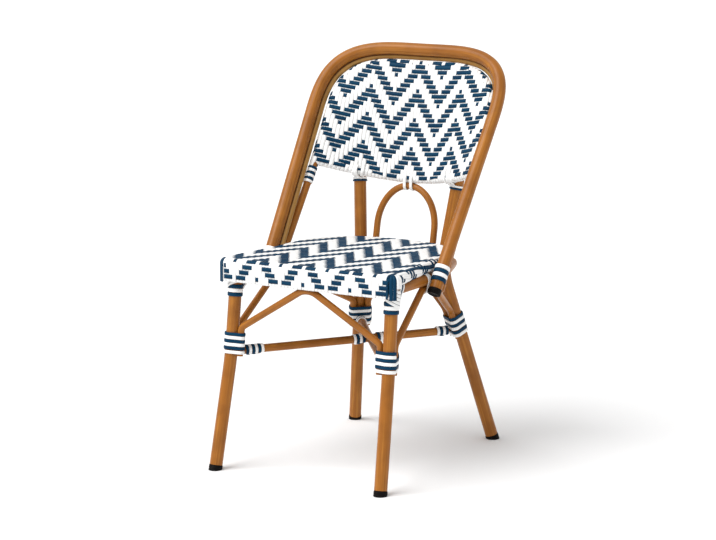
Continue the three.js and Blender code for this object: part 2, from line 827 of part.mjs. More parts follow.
// Stations of a winding: level bands with one short climb in each turn
function windingStations({ frame, members, levels, turnSteps }) {
  const outwardAt = (turn) => frame.e1.clone().multiplyScalar(Math.cos(turn))
    .addScaledVector(frame.e2, Math.sin(turn));
  const heightAt = (turn) => {
    const k = Math.min(levels.length - 1, Math.floor(turn / (2 * Math.PI)));
    const part = (turn - 2 * Math.PI * (k + 1) + climbTurn) / climbTurn;
    const next = levels[Math.min(levels.length - 1, k + 1)];
    return levels[k] + (next - levels[k]) * THREE.MathUtils.smoothstep(part, 0, 1);
  };
  const total = 2 * Math.PI * levels.length - climbTurn;
  const count = Math.round(total / (2 * Math.PI) * turnSteps);
  const choiceAt = (turn) => bundleChoice(frame, members, heightAt(turn), outwardAt(turn));
  const stations = [];
  const push = (turn, choice) => {
    stations.push({ station: heightAt(turn), outward: outwardAt(turn), choice });
  };
  for (let i = 0; i <= count; i += 1) {
    const turn = total * i / count;
    push(turn, choiceAt(turn));
    if (i < count && choiceAt(turn) !== choiceAt(total * (i + 1) / count)) {
      let low = turn;
      let high = total * (i + 1) / count;
      for (let k = 0; k < 20; k += 1) {
        const middle = (low + high) / 2;
        if (choiceAt(middle) === choiceAt(turn)) {
          low = middle;
        } else {
          high = middle;
        }
      }
      push(low, choiceAt(low));
      push(high, choiceAt(high));
    }
  }
  return stations;
}

function windingRings(options) {
  const { frame, members, band, turnSteps } = options;
  const halfWidth = (band - strandGap) / 2;
  const grow = 1 / Math.cos(Math.PI / turnSteps);
  return windingStations(options).map(({ station, outward, choice }) => {
    const at = (shift) => tubeSupport(frame, members[choice], station + shift, outward, grow);
    const low = at(-halfWidth);
    const high = at(halfWidth);
    const lift = outward.clone().multiplyScalar(strandThickness);
    return [low, high, high.clone().add(lift), low.clone().add(lift)];
  });
}

// Least distance between the corners of rings that lie more than half a turn apart
function leastGap(rings, perTurn) {
  let least = Infinity;
  for (let i = 0; i < rings.length; i += 1) {
    for (let j = i + Math.ceil(perTurn * freeTurnShare); j < rings.length; j += 1) {
      for (const a of rings[i]) {
        for (const b of rings[j]) {
          least = Math.min(least, a.distanceTo(b));
        }
      }
    }
  }
  return least;
}

function ribbonGeometry(rings) {
  const points = rings.flat().flatMap((spot) => [spot.x, spot.y, spot.z]);
  const faces = [];
  for (let i = 0; i < rings.length - 1; i += 1) {
    for (let j = 0; j < 4; j += 1) {
      const a = 4 * i + j;
      const b = 4 * i + (j + 1) % 4;
      faces.push(a, b + 4, a + 4, a, b, b + 4);
    }
  }
  const end = 4 * (rings.length - 1);
  faces.push(0, 2, 1, 0, 3, 2, end, end + 1, end + 2, end, end + 2, end + 3);
  return indexed(points, faces);
}

function binding(name, look, options) {
  const rings = windingRings({ turnSteps: wrapSteps, ...options });
  const turns = options.levels.length;
  if (turns > 1) {
    const gap = leastGap(rings, rings.length / turns);
    console.log(`${name}: least gap to itself ${gap.toFixed(2)} mm`);
  }
  return add(name, ribbonGeometry(rings), look);
}

// Two strands side by side, from the first band on
function pairBinding(name, bands, place, skipAfter = bands.count, skip = 0) {
  const levelOf = (i) => bands.start + bands.band * (i + 1 / 2) + (i >= skipAfter ? skip : 0);
  const whiteFirst = bands.whiteFirst ? 1 : 0;
  for (const [word, look, first] of [['navy', navy, whiteFirst], ['white', white, 1 - whiteFirst]]) {
    const levels = [];
    for (let i = first; i < bands.count; i += 2) {
      levels.push(levelOf(i));
    }
    binding(`${name}_${word}`, look, { ...place, band: bands.band, levels });
  }
}

function straight(from, to, radius) {
  return { point: from, direction: to.clone().sub(from).normalize(), radius };
}

// Lower leg bindings hold the leg and the ends of two braces
function legBinding(name, side, line, span, outer, climbSide) {
  const low = onLeg(line, span.foot);
  const high = onLeg(line, span.top);
  const members = [straight(low, high, legRadius + bendSlack)];
  for (const direction of [inward, outer]) {
    const from = besideAt(line, direction, span.foot);
    const to = besideAt(line, direction, span.top);
    members.push(straight(from, to, braceRadius));
  }
  const mirrored = members.map((member) => ({
    point: onSide(side, member.point),
    direction: onSide(side, member.direction),
    radius: member.radius,
  }));
  const axis = onSide(side, low.sub(high));
  const frame = bundleFrame(onSide(side, onLeg(line, span.middle)), axis, onSide(side, climbSide));
  const { above, below } = span.bands;
  const bands = { start: span.start, band: legBand, count: above + below };
  pairBinding(name, bands, { frame, members: mirrored }, above, studRoom);
  return { frame, members: mirrored };
}

const frontClimb = v3(1, 1, 0);
const rearClimb = v3(-1, 1, 0);
const bundles = {};
for (const [side, word] of [[1, 'right'], [-1, 'left']]) {
  const front = [side, frontLine, frontSpan, rearward, frontClimb];
  const rear = [side, rearLine, rearSpan, frontward, rearClimb];
  bundles[`front_${word}`] = legBinding(`front_binding_${word}`, ...front);
  bundles[`rear_${word}`] = legBinding(`rear_binding_${word}`, ...rear);
}

// Crossed stretchers: one long, one in two halves that meet it
function frontEnd(side) {
  return onSide(side, onLeg(frontLine, stretcherZ.front));
}

function rearEnd(side) {
  return onSide(side, onLeg(rearLine, stretcherZ.rear));
}

function bodyStart(bundle, centre, direction) {
  const { frame, members } = bundle;
  const outward = direction.clone().addScaledVector(frame.w, -direction.dot(frame.w)).normalize();
  const station = centre.clone().sub(frame.origin).dot(frame.w);
  const choice = bundleChoice(frame, members, station, outward);
  const grow = 1 / Math.cos(Math.PI / wrapSteps);
  const edge = tubeSupport(frame, members[choice], station, outward, grow).sub(centre).dot(outward);
  const lean = direction.angleTo(frame.w);
  const rim = (stretcherRadius + strandThickness + 2 * seatGap) * Math.abs(Math.cos(lean));
  return (edge + strandThickness + 2 * seatGap + rim) / Math.sin(lean);
}

function studStart(bundle, direction) {
  const lean = direction.angleTo(bundle.frame.w);
  return (legRadius + seatGap + studRadius * Math.abs(Math.cos(lean))) / Math.sin(lean);
}

function studProfile(stud, start) {
  return [[0, stud], [studRadius, stud], [studRadius, start], [stretcherRadius, start]];
}

function stretcherWrap(name, from, direction, start, count) {
  const members = [{ point: from, direction, radius: stretcherRadius }];
  const frame = bundleFrame(from, direction, v3(0, 0, -1));
  const bands = { start: start + seatGap, band: stretcherBand, count };
  pairBinding(name, bands, { frame, members });
}

const longFrom = frontEnd(-1);
const longTo = rearEnd(1);
const longWay = longTo.clone().sub(longFrom).normalize();
const longLength = longFrom.distanceTo(longTo);
const longStart = bodyStart(bundles.front_left, longFrom, longWay);
const longEnd = bodyStart(bundles.rear_right, longTo, longWay.clone().negate());
const nearEnd = studProfile(studStart(bundles.front_left, longWay), longStart);
const farEnd = studProfile(studStart(bundles.rear_right, longWay), longEnd);
const farTurned = farEnd.map(([r, h]) => [r, longLength - h]).reverse();
const longBar = latheOf([...nearEnd, ...farTurned], roundSides);
aim(add('stretcher_long', longBar, wood), longFrom, longTo);
stretcherWrap('stretcher_wrap_front_left', longFrom, longWay, longStart, frontWraps);
stretcherWrap('stretcher_wrap_rear_right', longTo, longWay.clone().negate(), longEnd, rearWraps);

const crossing = (() => {
  const share = frontEnd(1).x / (frontEnd(1).x + longTo.x);
  return frontEnd(1).lerp(rearEnd(-1), share);
})();
const skew = longWay.clone().cross(v3(-longWay.x, longWay.y, 0)).length();

function halfStretcher(name, wrapName, from, bundle, count) {
  const direction = crossing.clone().sub(from).normalize();
  const start = bodyStart(bundle, from, direction);
  const blunt = stretcherRadius * Math.sqrt(1 - skew * skew);
  const length = from.distanceTo(crossing) - (stretcherRadius + seatGap + blunt) / skew;
  const profile = studProfile(studStart(bundle, direction), start);
  profile.push([stretcherRadius, length], [0, length]);
  aim(add(name, latheOf(profile, roundSides), wood), from, crossing);
  stretcherWrap(wrapName, from, direction, start, count);
}

const { front_right: nearRight, rear_left: farLeft } = bundles;
const nearWrap = 'stretcher_wrap_front_right';
halfStretcher('stretcher_half_front', nearWrap, frontEnd(1), nearRight, frontWraps);
halfStretcher('stretcher_half_rear', 'stretcher_wrap_rear_left', rearEnd(-1), farLeft, rearWraps);

// Wraps on the long stretcher either side of the crossing
for (const [word, way] of [['front', -1], ['rear', 1]]) {
  const direction = longWay.clone().multiplyScalar(way);
  const members = [{ point: crossing, direction, radius: stretcherRadius }];
  const frame = bundleFrame(crossing, direction, v3(0, 0, -1));
  const first = crossOffset + stretcherBand / 2;
  const levels = [first, first + 2 * stretcherBand];
  binding(`crossing_wrap_${word}`, navy, { frame, members, band: stretcherBand, levels });
}

// Bindings at the tops of the front legs
for (const [side, word] of [[1, 'right'], [-1, 'left']]) {
  const topZ = seatHeight - topBindingDrop;
  const top = onSide(side, onLeg(frontLine, topZ));
  const low = onSide(side, onLeg(frontLine, topZ - 3 * topBand));
  const members = [straight(low, top, legRadius)];
  const frame = bundleFrame(top, low.clone().sub(top), v3(0, 1, 0));
  const bands = { start: 0, band: topBand, count: 3 };
  pairBinding(`top_binding_${word}`, bands, { frame, members });
}

// Bindings round the bow's tails, where they pass the seat
for (const [side, word] of [[1, 'right'], [-1, 'left']]) {
  const topHalf = bowBaseHalf + (bowHalf - bowBaseHalf) * bowWrapUp / bowShoulder;
  const top = onSide(side, backPoint(topHalf, bowWrapUp, 0));
  const tailHalf = bowBaseHalf - (bowHalf - bowBaseHalf) * bowTail / bowShoulder;
  const low = onSide(side, backPoint(tailHalf, -bowTail, 0));
  const frame = bundleFrame(top, low.clone().sub(top), v3(0, 1, 0));
  const place = { frame, members: [straight(low, top, bowRadius)], turnSteps: bowWrapSteps };
  const bands = { start: 0, band: bowBand, count: bowBands, whiteFirst: true };
  pairBinding(`bow_binding_${word}`, bands, place);
}

// Bindings on the hoop below the corners of the back panel
for (const [side, word] of [[1, 'right'], [-1, 'left']]) {
  const bindingUp = railCornerUp - bottomRailRadius - cornerDrop;
  const top = onSide(side, backPoint(limbHalf(bindingUp), bindingUp, hoopBehind));
  const low = onSide(side, backPoint(hoopHalf, 0, hoopBehind));
  const members = [straight(low, top, hoopRadius)];
  const frame = bundleFrame(top, low.clone().sub(top), v3(0, 1, 0));
  const bands = { start: 0, band: cornerBand, count: 6 };
  pairBinding(`corner_binding_${word}`, bands, { frame, members });
}

// White tie that holds the arch's crown to the bottom rail
const tieRail = bottomPath.getPointAt(0.5);
const tieMembers = [
  { point: tieRail, direction: v3(1, 0, 0), radius: bottomRailRadius + bendSlack },
  { point: v3(0, archTopY, archTopZ), direction: v3(1, 0, 0), radius: archRadius + bendSlack },
];
const tieFrame = bundleFrame(tieRail, v3(1, 0, 0), v3(0, 1, 0));
const tiePlace = { frame: tieFrame, members: tieMembers, turnSteps: bowWrapSteps };
binding('arch_tie', white, { ...tiePlace, band: tieBand, levels: [-tieBand / 2, tieBand / 2] });

// The origin goes to the middle of the bounding box, on the floor
chair.updateMatrixWorld(true);
const middle = new THREE.Box3().setFromObject(chair).getCenter(v3(0, 0, 0));
chair.position.set(-middle.x, -middle.y, 0);

export default chair;
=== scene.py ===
import math

import bmesh
import bpy
import numpy as np
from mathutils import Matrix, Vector


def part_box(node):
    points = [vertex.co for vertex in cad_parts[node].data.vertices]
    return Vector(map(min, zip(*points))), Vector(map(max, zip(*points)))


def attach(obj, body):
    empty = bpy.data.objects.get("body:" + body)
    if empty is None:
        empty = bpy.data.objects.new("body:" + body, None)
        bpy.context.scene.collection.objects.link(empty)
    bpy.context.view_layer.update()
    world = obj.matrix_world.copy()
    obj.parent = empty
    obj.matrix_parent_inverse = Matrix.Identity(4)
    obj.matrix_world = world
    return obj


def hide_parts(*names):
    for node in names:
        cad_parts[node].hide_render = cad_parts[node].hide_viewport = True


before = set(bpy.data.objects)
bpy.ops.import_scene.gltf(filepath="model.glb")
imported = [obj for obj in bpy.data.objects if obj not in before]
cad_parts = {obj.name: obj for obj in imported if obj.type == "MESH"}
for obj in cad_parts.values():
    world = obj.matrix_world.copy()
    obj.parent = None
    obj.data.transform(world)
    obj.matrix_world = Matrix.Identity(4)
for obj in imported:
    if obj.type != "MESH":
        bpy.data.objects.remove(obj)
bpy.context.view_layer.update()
mm = 0.001
touchGap = 0.3  # between pieces that touch, in millimetres as all sizes of the chair
sides = (("right", np.array((1, 1, 1))), ("left", np.array((-1, 1, 1))))
towardsMiddle = np.array((-1.0, 0, 0))  # on the right side
rearward = np.array((0, 1.0, 0))
downward = np.array((0, 0, -1.0))

for leftover in ("Cube", "Camera", "Light"):  # what Blender opens with
    if leftover in bpy.data.objects:
        bpy.data.objects.remove(bpy.data.objects[leftover])

seat = {
    "frontY": -237, "rearY": 175, "waistY": -50, "top": 457, "frontHalf": 221, "backHalf": 196.5,
    "corner": 20, "power": 2.8, "roll": 13.5, "apronBottom": 405, "middleY": -30.0,
}
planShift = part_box("seat_weave")[0].y / mm - seat["frontY"]  # the part's y 0 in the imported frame


def place(x, y, z):
    return Vector((x, y + planShift, z)) * mm


# Materials
def newGroup(name, vectors, colors):
    group = bpy.data.node_groups.new(name, "ShaderNodeTree")
    for labels, kind in ((vectors, "NodeSocketVector"), (colors, "NodeSocketColor")):
        for label in labels:
            group.interface.new_socket(name=label, in_out="INPUT", socket_type=kind)
    for label, kind in (("Color", "Color"), ("Roughness", "Float"), ("Height", "Float")):
        group.interface.new_socket(name=label, in_out="OUTPUT", socket_type="NodeSocket" + kind)
    return group, group.nodes.new("NodeGroupInput").outputs


# Each input gets a link where a socket is given, or else a fixed value
def fillInputs(tree, node, inputs):
    for label, given in inputs.items():
        if isinstance(given, bpy.types.NodeSocket):
            tree.links.new(given, node.inputs[label])
        else:
            node.inputs[label].default_value = given


def addNode(tree, kind, inputs=None, **values):
    node = tree.nodes.new(kind)
    for key, value in values.items():
        setattr(node, key, value)
    fillInputs(tree, node, inputs or {})
    return node


def stretchedNoise(tree, vector, scale, detail, roughness=0.5):
    spread = addNode(tree, "ShaderNodeMapping", {"Vector": vector, "Scale": scale}).outputs["Vector"]
    inputs = {"Vector": spread, "Scale": 1, "Detail": detail, "Roughness": roughness}
    return addNode(tree, "ShaderNodeTexNoise", inputs).outputs["Fac"]


def remap(tree, value, low, high, toLow, toHigh):
    inputs = {"Value": value, "From Min": low, "From Max": high, "To Min": toLow, "To Max": toHigh}
    return addNode(tree, "ShaderNodeMapRange", inputs, interpolation_type="SMOOTHSTEP").outputs["Result"]


def mixColor(tree, factor, first, second):
    return addNode(tree, "ShaderNodeMix", {0: factor, 6: first, 7: second}, data_type="RGBA").outputs[2]


def addHeights(tree, first, second, share):
    inputs = {0: second, 1: share, 2: first}
    return addNode(tree, "ShaderNodeMath", inputs, operation="MULTIPLY_ADD").outputs[0]


# Lengthwise streaks of a peeled cane finish, on metres along and round the tube
def buildCaneStreaks():
    group, given = newGroup("caneStreaks", ("Vector", "Place"), ("Base", "Light", "Dark"))
    fine = stretchedNoise(group, given["Vector"], (9, 900, 1), 5, 0.62)
    broad = stretchedNoise(group, given["Vector"], (4, 150, 1), 3)
    patch = stretchedNoise(group, given["Place"], (22, 22, 22), 2)
    lit = mixColor(group, remap(group, broad, 0.45, 0.68, 0, 0.62), given["Base"], given["Light"])
    worn = mixColor(group, remap(group, patch, 0.35, 0.75, 0, 0.32), lit, given["Dark"])
    streaked = mixColor(group, remap(group, fine, 0.52, 0.74, 0, 0.6), worn, given["Dark"])
    rough = remap(group, fine, 0.3, 0.75, 0.32, 0.52)
    heights = addHeights(group, fine, broad, 0.8)
    addNode(group, "NodeGroupOutput", {"Color": streaked, "Roughness": rough, "Height": heights})
    return group


# Extruded strand: fine ridges along it and slight differences from strand to strand
def buildStrandGrain():
    group, given = newGroup("strandGrain", ("Vector", "Place"), ("Base", "Shade"))
    ridges = stretchedNoise(group, given["Vector"], (14, 1500, 1), 3)
    tone = stretchedNoise(group, given["Vector"], (9, 120, 1), 1)
    dust = stretchedNoise(group, given["Place"], (60, 60, 60), 3)
    toned = mixColor(group, remap(group, tone, 0.35, 0.7, 0, 0.55), given["Base"], given["Shade"])
    ridged = mixColor(group, remap(group, ridges, 0.5, 0.75, 0, 0.4), toned, given["Shade"])
    rough = remap(group, dust, 0.3, 0.7, 0.38, 0.56)
    addNode(group, "NodeGroupOutput", {"Color": ridged, "Roughness": rough, "Height": ridges})
    return group


# Moulded plastic: fine pores and scuffs
def buildMouldGrain():
    group, given = newGroup("mouldGrain", ("Place",), ("Base", "Scuff"))
    pores = stretchedNoise(group, given["Place"], (1400, 1400, 1400), 3)
    scuffs = stretchedNoise(group, given["Place"], (90, 90, 300), 4)
    scuffed = mixColor(group, remap(group, scuffs, 0.5, 0.8, 0, 0.8), given["Base"], given["Scuff"])
    rough = remap(group, scuffs, 0.3, 0.8, 0.5, 0.75)
    addNode(group, "NodeGroupOutput", {"Color": scuffed, "Roughness": rough, "Height": pores})
    return group


reliefDepth = 0.0004  # metres


def makeFinish(name, group, colors, bump, surface):
    material = bpy.data.materials.new(name)
    material.use_nodes = True
    tree = material.node_tree
    spot = addNode(tree, "ShaderNodeTexCoord").outputs
    effect = addNode(tree, "ShaderNodeGroup", node_tree=group)
    inputs = {label: (*color, 1) for label, color in colors.items()}
    inputs["Place"] = spot["Object"]
    if "Vector" in effect.inputs:
        inputs["Vector"] = spot["UV"]
    fillInputs(tree, effect, inputs)
    shown = effect.outputs
    heights = {"Height": shown["Height"], "Strength": bump, "Distance": reliefDepth}
    relief = addNode(tree, "ShaderNodeBump", heights).outputs["Normal"]
    shading = {"Base Color": shown["Color"], "Roughness": shown["Roughness"], "Normal": relief}
    fillInputs(tree, tree.nodes["Principled BSDF"], shading | surface)
    return material


caneStreaks = buildCaneStreaks()
strandGrain = buildStrandGrain()
caneGloss = {"Coat Weight": 0.12, "Coat Roughness": 0.22, "Specular IOR Level": 0.2}
finishes = {  # material, slot, pattern, relief, gloss and colours
    "cane": ("caneLacquer", "rattan_tube", caneStreaks, 0.3, caneGloss, {
        "Base": (0.33, 0.115, 0.013), "Light": (0.50, 0.205, 0.032), "Dark": (0.12, 0.034, 0.004)}),
    "trim": ("trimLacquer", "rattan_tube", caneStreaks, 0.3, caneGloss, {
        "Base": (0.34, 0.17, 0.038), "Light": (0.48, 0.27, 0.075), "Dark": (0.13, 0.055, 0.012)}),
    # painted shade: the dark finish of the rod laid in the crease between bow and trim rod
    "seam": ("paintedCreaseShade", "rattan_tube", caneStreaks, 0.3, {"Specular IOR Level": 0.2}, {
        "Base": (0.075, 0.022, 0.004), "Light": (0.15, 0.05, 0.01), "Dark": (0.03, 0.009, 0.002)}),
    "white": ("whiteStrand", "weave_white", strandGrain, 0.2, {"Specular IOR Level": 0.3}, {
        "Base": (0.93, 0.93, 0.92), "Shade": (0.86, 0.855, 0.84)}),
    "navy": ("navyStrand", "weave_navy", strandGrain, 0.25, {"Specular IOR Level": 0.09}, {
        "Base": (0.001, 0.029, 0.070), "Shade": (0.003, 0.052, 0.108)}),
    "plastic": ("blackPlastic", "black_plastic", buildMouldGrain(), 0.3, {"Specular IOR Level": 0.08}, {
        "Base": (0.004, 0.003, 0.003), "Scuff": (0.018, 0.015, 0.014)}),
}
looks = {}
for look, (name, slot, group, bump, surface, colors) in finishes.items():
    looks[look] = (makeFinish(name, group, colors, bump, surface), slot)
print("materials ready")


def showObject(name, data):
    shown = bpy.data.objects.new(name, data)
    bpy.context.scene.collection.objects.link(shown)
    return shown


def meshOf(name, bm):
    mesh = bpy.data.meshes.new(name)
    bm.to_mesh(mesh)
    bm.free()
    return mesh


def addPiece(name, mesh, look, *replaced):
    material, slot = looks[look]
    piece = showObject(name, mesh)
    mesh.materials.clear()
    mesh.materials.append(material)
    mesh.shade_smooth()
    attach(piece, "root")
    if replaced:
        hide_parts(*replaced)
    return piece


# Paths, in millimetres
def unit(vector):
    return vector / np.linalg.norm(vector)


def roundedPath(points, bends, steps=12):
    points = [np.array(point, float) for point in points]
    path = [points[0]]
    for before, corner, after, reach in zip(points, points[1:], points[2:], bends):
        start = corner + unit(before - corner) * reach
        end = corner + unit(after - corner) * reach
        for k in range(steps + 1):
            share = k / steps
            path.append((1 - share) ** 2 * start + 2 * share * (1 - share) * corner + share ** 2 * end)
    path.append(points[-1])
    return np.array(path)


def lengthsAlong(path):
    return np.concatenate(([0], np.cumsum(np.linalg.norm(np.diff(path, axis=0), axis=1))))


def evenPath(path, step):
    lengths = lengthsAlong(path)
    stations = np.linspace(0, lengths[-1], max(2, round(lengths[-1] / step) + 1))
    return np.stack([np.interp(stations, lengths, column) for column in path.T], axis=1)


def mirrored(path):
    return path * np.array((-1, 1, 1))


# A round tube along a path, with UVs in metres along and round it
def tubeMesh(name, path, radius, step=5, smooth=6, closed=False):
    path = evenPath(path, step)[:-1] if closed else evenPath(path, step)
    line = bpy.data.curves.new(name, "CURVE")
    line.dimensions = "3D"
    line.bevel_depth = radius * mm
    line.bevel_resolution = smooth
    line.use_fill_caps = True
    spline = line.splines.new("POLY")
    spline.points.add(len(path) - 1)
    spline.use_cyclic_u = closed
    for point, spot in zip(spline.points, path):
        point.co = (*place(*spot), 1)
    holder = showObject(name, line)
    shape = holder.evaluated_get(bpy.context.evaluated_depsgraph_get())
    mesh = bpy.data.meshes.new_from_object(shape)
    bpy.data.objects.remove(holder)
    bpy.data.curves.remove(line)
    size = np.array((lengthsAlong(path)[-1], 2 * math.pi * radius)) * mm
    spots = np.zeros(len(mesh.loops) * 2, np.float32)
    mesh.uv_layers.active.data.foreach_get("uv", spots)
    spots = spots.reshape(-1, 2) * size.astype(np.float32)
    mesh.uv_layers.active.data.foreach_set("uv", spots.ravel())
    return mesh


def joinMeshes(name, meshes):
    bm = bmesh.new()
    for mesh in meshes:
        bm.from_mesh(mesh)
    return meshOf(name, bm)


def addTube(name, path, radius, *replaced, look="cane", smooth=6):
    addPiece(name, tubeMesh(name, path, radius, smooth=smooth), look, *replaced)


# The back, laid out in a plane that leans back from the seat
back = {
    "lean": math.radians(33.5), "baseY": -31, "baseDrop": 17,
    "aside": 18.8, "spread": 13.2, "shoulder": 370, "top": 524.2, "barrel": 15,
    "acrossPower": 3.57, "alongPower": 2.63, "tail": 52, "radius": 14,
    "trimInward": 14, "trimBehind": 14.3, "trimRadius": 6.1,
}
seam = {"inward": 11.4, "behind": 7.6, "radius": 1.9, "short": 2}  # dark rod laid in the crease between bow and trim rod: painted shade
hoop = {
    "inward": 31, "behind": 34, "behindTop": 16, "barrel": 13, "radius": 8.5, "tail": 37, "railUp": 255.6,
    "cornerUp": 241.6, "railDepth": 86, "power": 1.9, "railRadius": 8.5, "railShort": 7,
}
bowBaseZ = seat["top"] - back["baseDrop"]
bowBaseHalf = seat["backHalf"] + back["aside"]
bowHalf = bowBaseHalf + back["spread"]


def backPoint(x, up, behind):
    y = back["baseY"] + up * math.sin(back["lean"]) + behind * math.cos(back["lean"])
    z = bowBaseZ + up * math.cos(back["lean"]) - behind * math.sin(back["lean"])
    return np.stack(np.broadcast_arrays(x, y, z), axis=-1)


def barrel(x, half, depth):
    return depth * (1 - np.minimum(1, np.abs(x) / half) ** hoop["power"])


# Half of a rounded oblong, from side to side over its top
def crownCurve(half, low, top, acrossPower, alongPower, steps=161):
    turn = np.linspace(0, math.pi, steps)
    across = np.abs(np.cos(turn)) ** (2 / acrossPower) * np.sign(np.cos(turn)) * half
    return across, low + np.sin(turn) ** (2 / alongPower) * (top - low)


def backCrown(half, top):
    return crownCurve(half, back["shoulder"], top, back["acrossPower"], back["alongPower"])


def archPath(tail, baseHalf, half, top, behindAt, depth):
    limb = np.linspace(-tail, back["shoulder"], 40)[:-1]
    across, up = backCrown(half, top)
    right = backPoint(baseHalf + (half - baseHalf) * limb / back["shoulder"], limb, behindAt(limb))
    crown = backPoint(across, up, behindAt(up) + barrel(across, half, depth))
    return np.concatenate((right, crown, mirrored(right)[::-1]))


def besideBow(tail, inward, behind):
    base, half, top = bowBaseHalf - inward, bowHalf - inward, back["top"] - inward
    return archPath(tail, base, half, top, lambda up: up * 0 + behind, back["barrel"])


bowPath = besideBow(back["tail"], 0, 0)
trimPath = besideBow(-back["baseDrop"], back["trimInward"], back["trimBehind"])
creaseShadePath = besideBow(-back["baseDrop"] - seam["short"], seam["inward"], seam["behind"])
addTube("bentBow", bowPath, back["radius"], "back_bow")
addTube("bentTrimRod", trimPath, back["trimRadius"], "trim_rod", look="trim")
# a dark rod in the crease between bow and trim rod, standing in as painted shade
addTube("seamFiller", creaseShadePath, seam["radius"], look="seam", smooth=3)

rails = {
    "seatThick": 27, "sideRadius": 12.5, "wrapReach": 16.5, "touchTurn": 18, "bend": 60,
    "startGap": 0.9, "endTurn": 36.87, "endReach": 39, "endBend": 0.3,
    "frontRadius": 9.5, "frontY": -224.7, "rearRadius": 10,
}
railZ = seat["top"] - rails["seatThick"] - touchGap - rails["sideRadius"]
crossUp = (railZ - bowBaseZ) / math.cos(back["lean"])
crossX = bowBaseHalf + back["spread"] * crossUp / back["shoulder"]
railHalf = crossX - rails["wrapReach"] - rails["sideRadius"] - touchGap
railReach = rails["sideRadius"] * math.cos(math.radians(rails["touchTurn"]))
hoopHalf = railHalf + railReach + hoop["radius"] + touchGap
hoopTop = back["top"] - hoop["inward"]
hoopTopHalf = bowHalf - hoop["inward"]


def hoopDepth(up):
    share = np.clip((up - hoop["railUp"]) / (hoopTop - hoop["railUp"]), 0, 1)
    return hoop["behind"] + (hoop["behindTop"] - hoop["behind"]) * share


def limbHalf(up):
    return hoopHalf + (hoopTopHalf - hoopHalf) * np.minimum(up, back["shoulder"]) / back["shoulder"]


cornerHalf = limbHalf(hoop["cornerUp"])


def railUp(x):
    return hoop["railUp"] + (hoop["cornerUp"] - hoop["railUp"]) * (x / cornerHalf) ** 2


def hoopUp(x):
    across = np.minimum(1, np.abs(x) / hoopTopHalf)
    along = (1 - across ** back["acrossPower"]) ** (1 / back["alongPower"])
    return back["shoulder"] + along * (hoopTop - back["shoulder"])


def panelPoint(x, up):
    share = np.clip((up - hoop["railUp"]) / (hoopUp(x) - hoop["railUp"]), 0, 1)
    depth = hoop["railDepth"] + (hoop["barrel"] - hoop["railDepth"]) * share
    return backPoint(x, up, hoopDepth(up) + barrel(x, limbHalf(up), depth))


hoopPath = archPath(hoop["tail"], hoopHalf, hoopTopHalf, hoopTop, hoopDepth, hoop["barrel"])
addTube("bentHoop", hoopPath, hoop["radius"], "back_hoop")
railX = np.linspace(-1, 1, 41) * (cornerHalf - hoop["railShort"])
addTube("bentBottomRail", panelPoint(railX, railUp(railX)), hoop["railRadius"], "back_bottom_rail")
print("back frame ready")

# Legs
legs = {
    "radius": 14, "cap": 11, "frontBend": 30, "rearBend": 45,
    "front": [(205.5, -272.1, 0), (195.3, -222.5, 243.2), (192.4, -201.8, 428.15)],
    "rear": [(181, 272.1, 0), (103.7, 169.8, 397.6), (126.3, 202.8, 599)],
}
frontLine = np.array(legs["front"], float)
rearLine = np.array(legs["rear"], float)


def legPath(line, bend):
    lifted = line[0] + unit(line[1] - line[0]) * legs["cap"]
    return roundedPath([lifted, *line[1:]], [bend])


frontPath = legPath(frontLine, legs["frontBend"])
rearPath = legPath(rearLine, legs["rearBend"])
for word, flip in sides:
    for leg, path in (("front", frontPath), ("rear", rearPath)):
        addTube(f"{leg}Leg_{word}", path * flip, legs["radius"], f"{leg}_leg_{word}")


# Caps and plugs: a turned profile, spun round the tube's axis
def addTurned(name, profile, foot, axis, sharp, node, cutRim=0):
    bm = bmesh.new()
    corners = [bm.verts.new((r * mm, 0, h * mm)) for r, h in profile]
    edges = [bm.edges.new(pair) for pair in zip(corners, corners[1:])]
    bmesh.ops.spin(bm, geom=corners + edges, cent=(0, 0, 0), axis=(0, 0, 1),
                   angle=2 * math.pi, steps=32, use_merge=True)
    bmesh.ops.remove_doubles(bm, verts=bm.verts, dist=0.00001)
    turn = Vector((0, 0, 1)).rotation_difference(Vector(axis)).to_matrix()
    bmesh.ops.rotate(bm, verts=bm.verts, cent=(0, 0, 0), matrix=turn)
    bmesh.ops.translate(bm, verts=bm.verts, vec=place(*foot))
    if cutRim:  # a foot cut level with the floor, its rim rounded
        whole = bm.verts[:] + bm.edges[:] + bm.faces[:]
        bmesh.ops.bisect_plane(bm, geom=whole, dist=0.00001, plane_co=(0, 0, 0),
                               plane_no=(0, 0, -1), clear_outer=True)
        rim = [edge for edge in bm.edges if edge.is_boundary]
        bmesh.ops.contextual_create(bm, geom=rim)
        bmesh.ops.bevel(bm, geom=rim, offset=cutRim * mm, offset_type="OFFSET", segments=4,
                        affect="EDGES", profile=0.5, material=-1, clamp_overlap=True)
    bmesh.ops.recalc_face_normals(bm, faces=bm.faces)
    mesh = meshOf(name, bm)
    addPiece(name, mesh, "plastic", node)
    mesh.set_sharp_from_angle(angle=math.radians(sharp))


capShape = {
    "radius": 14.8, "edge": 2.2, "below": 11, "height": 22, "foot": 2.6, "ring": 1.1, "sharp": 40,
    "groove": 0.55, "grooveStep": 0.03,  # shares of the height
}
r, edge, height = capShape["radius"], capShape["edge"], capShape["height"]
groove, grooveStep = capShape["groove"] * height, capShape["grooveStep"] * height
capProfile = [
    (0, 0), (r, 0), (r, groove), (r - capShape["ring"] / 2, groove + grooveStep),
    (r, groove + 2 * grooveStep), (r, height - edge), (r - edge * 0.3, height - edge * 0.3),
    (r - edge, height), (0, height),
]
for word, flip in sides:
    for leg, line in (("front", frontLine), ("rear", rearLine)):
        points = line * flip
        axis = unit(points[1] - points[0])
        foot = points[0] - axis * capShape["below"]
        addTurned(f"{leg}Cap_{word}", capProfile, foot, axis, capShape["sharp"], f"{leg}_leg_{word}_cap",
                  cutRim=capShape["foot"])
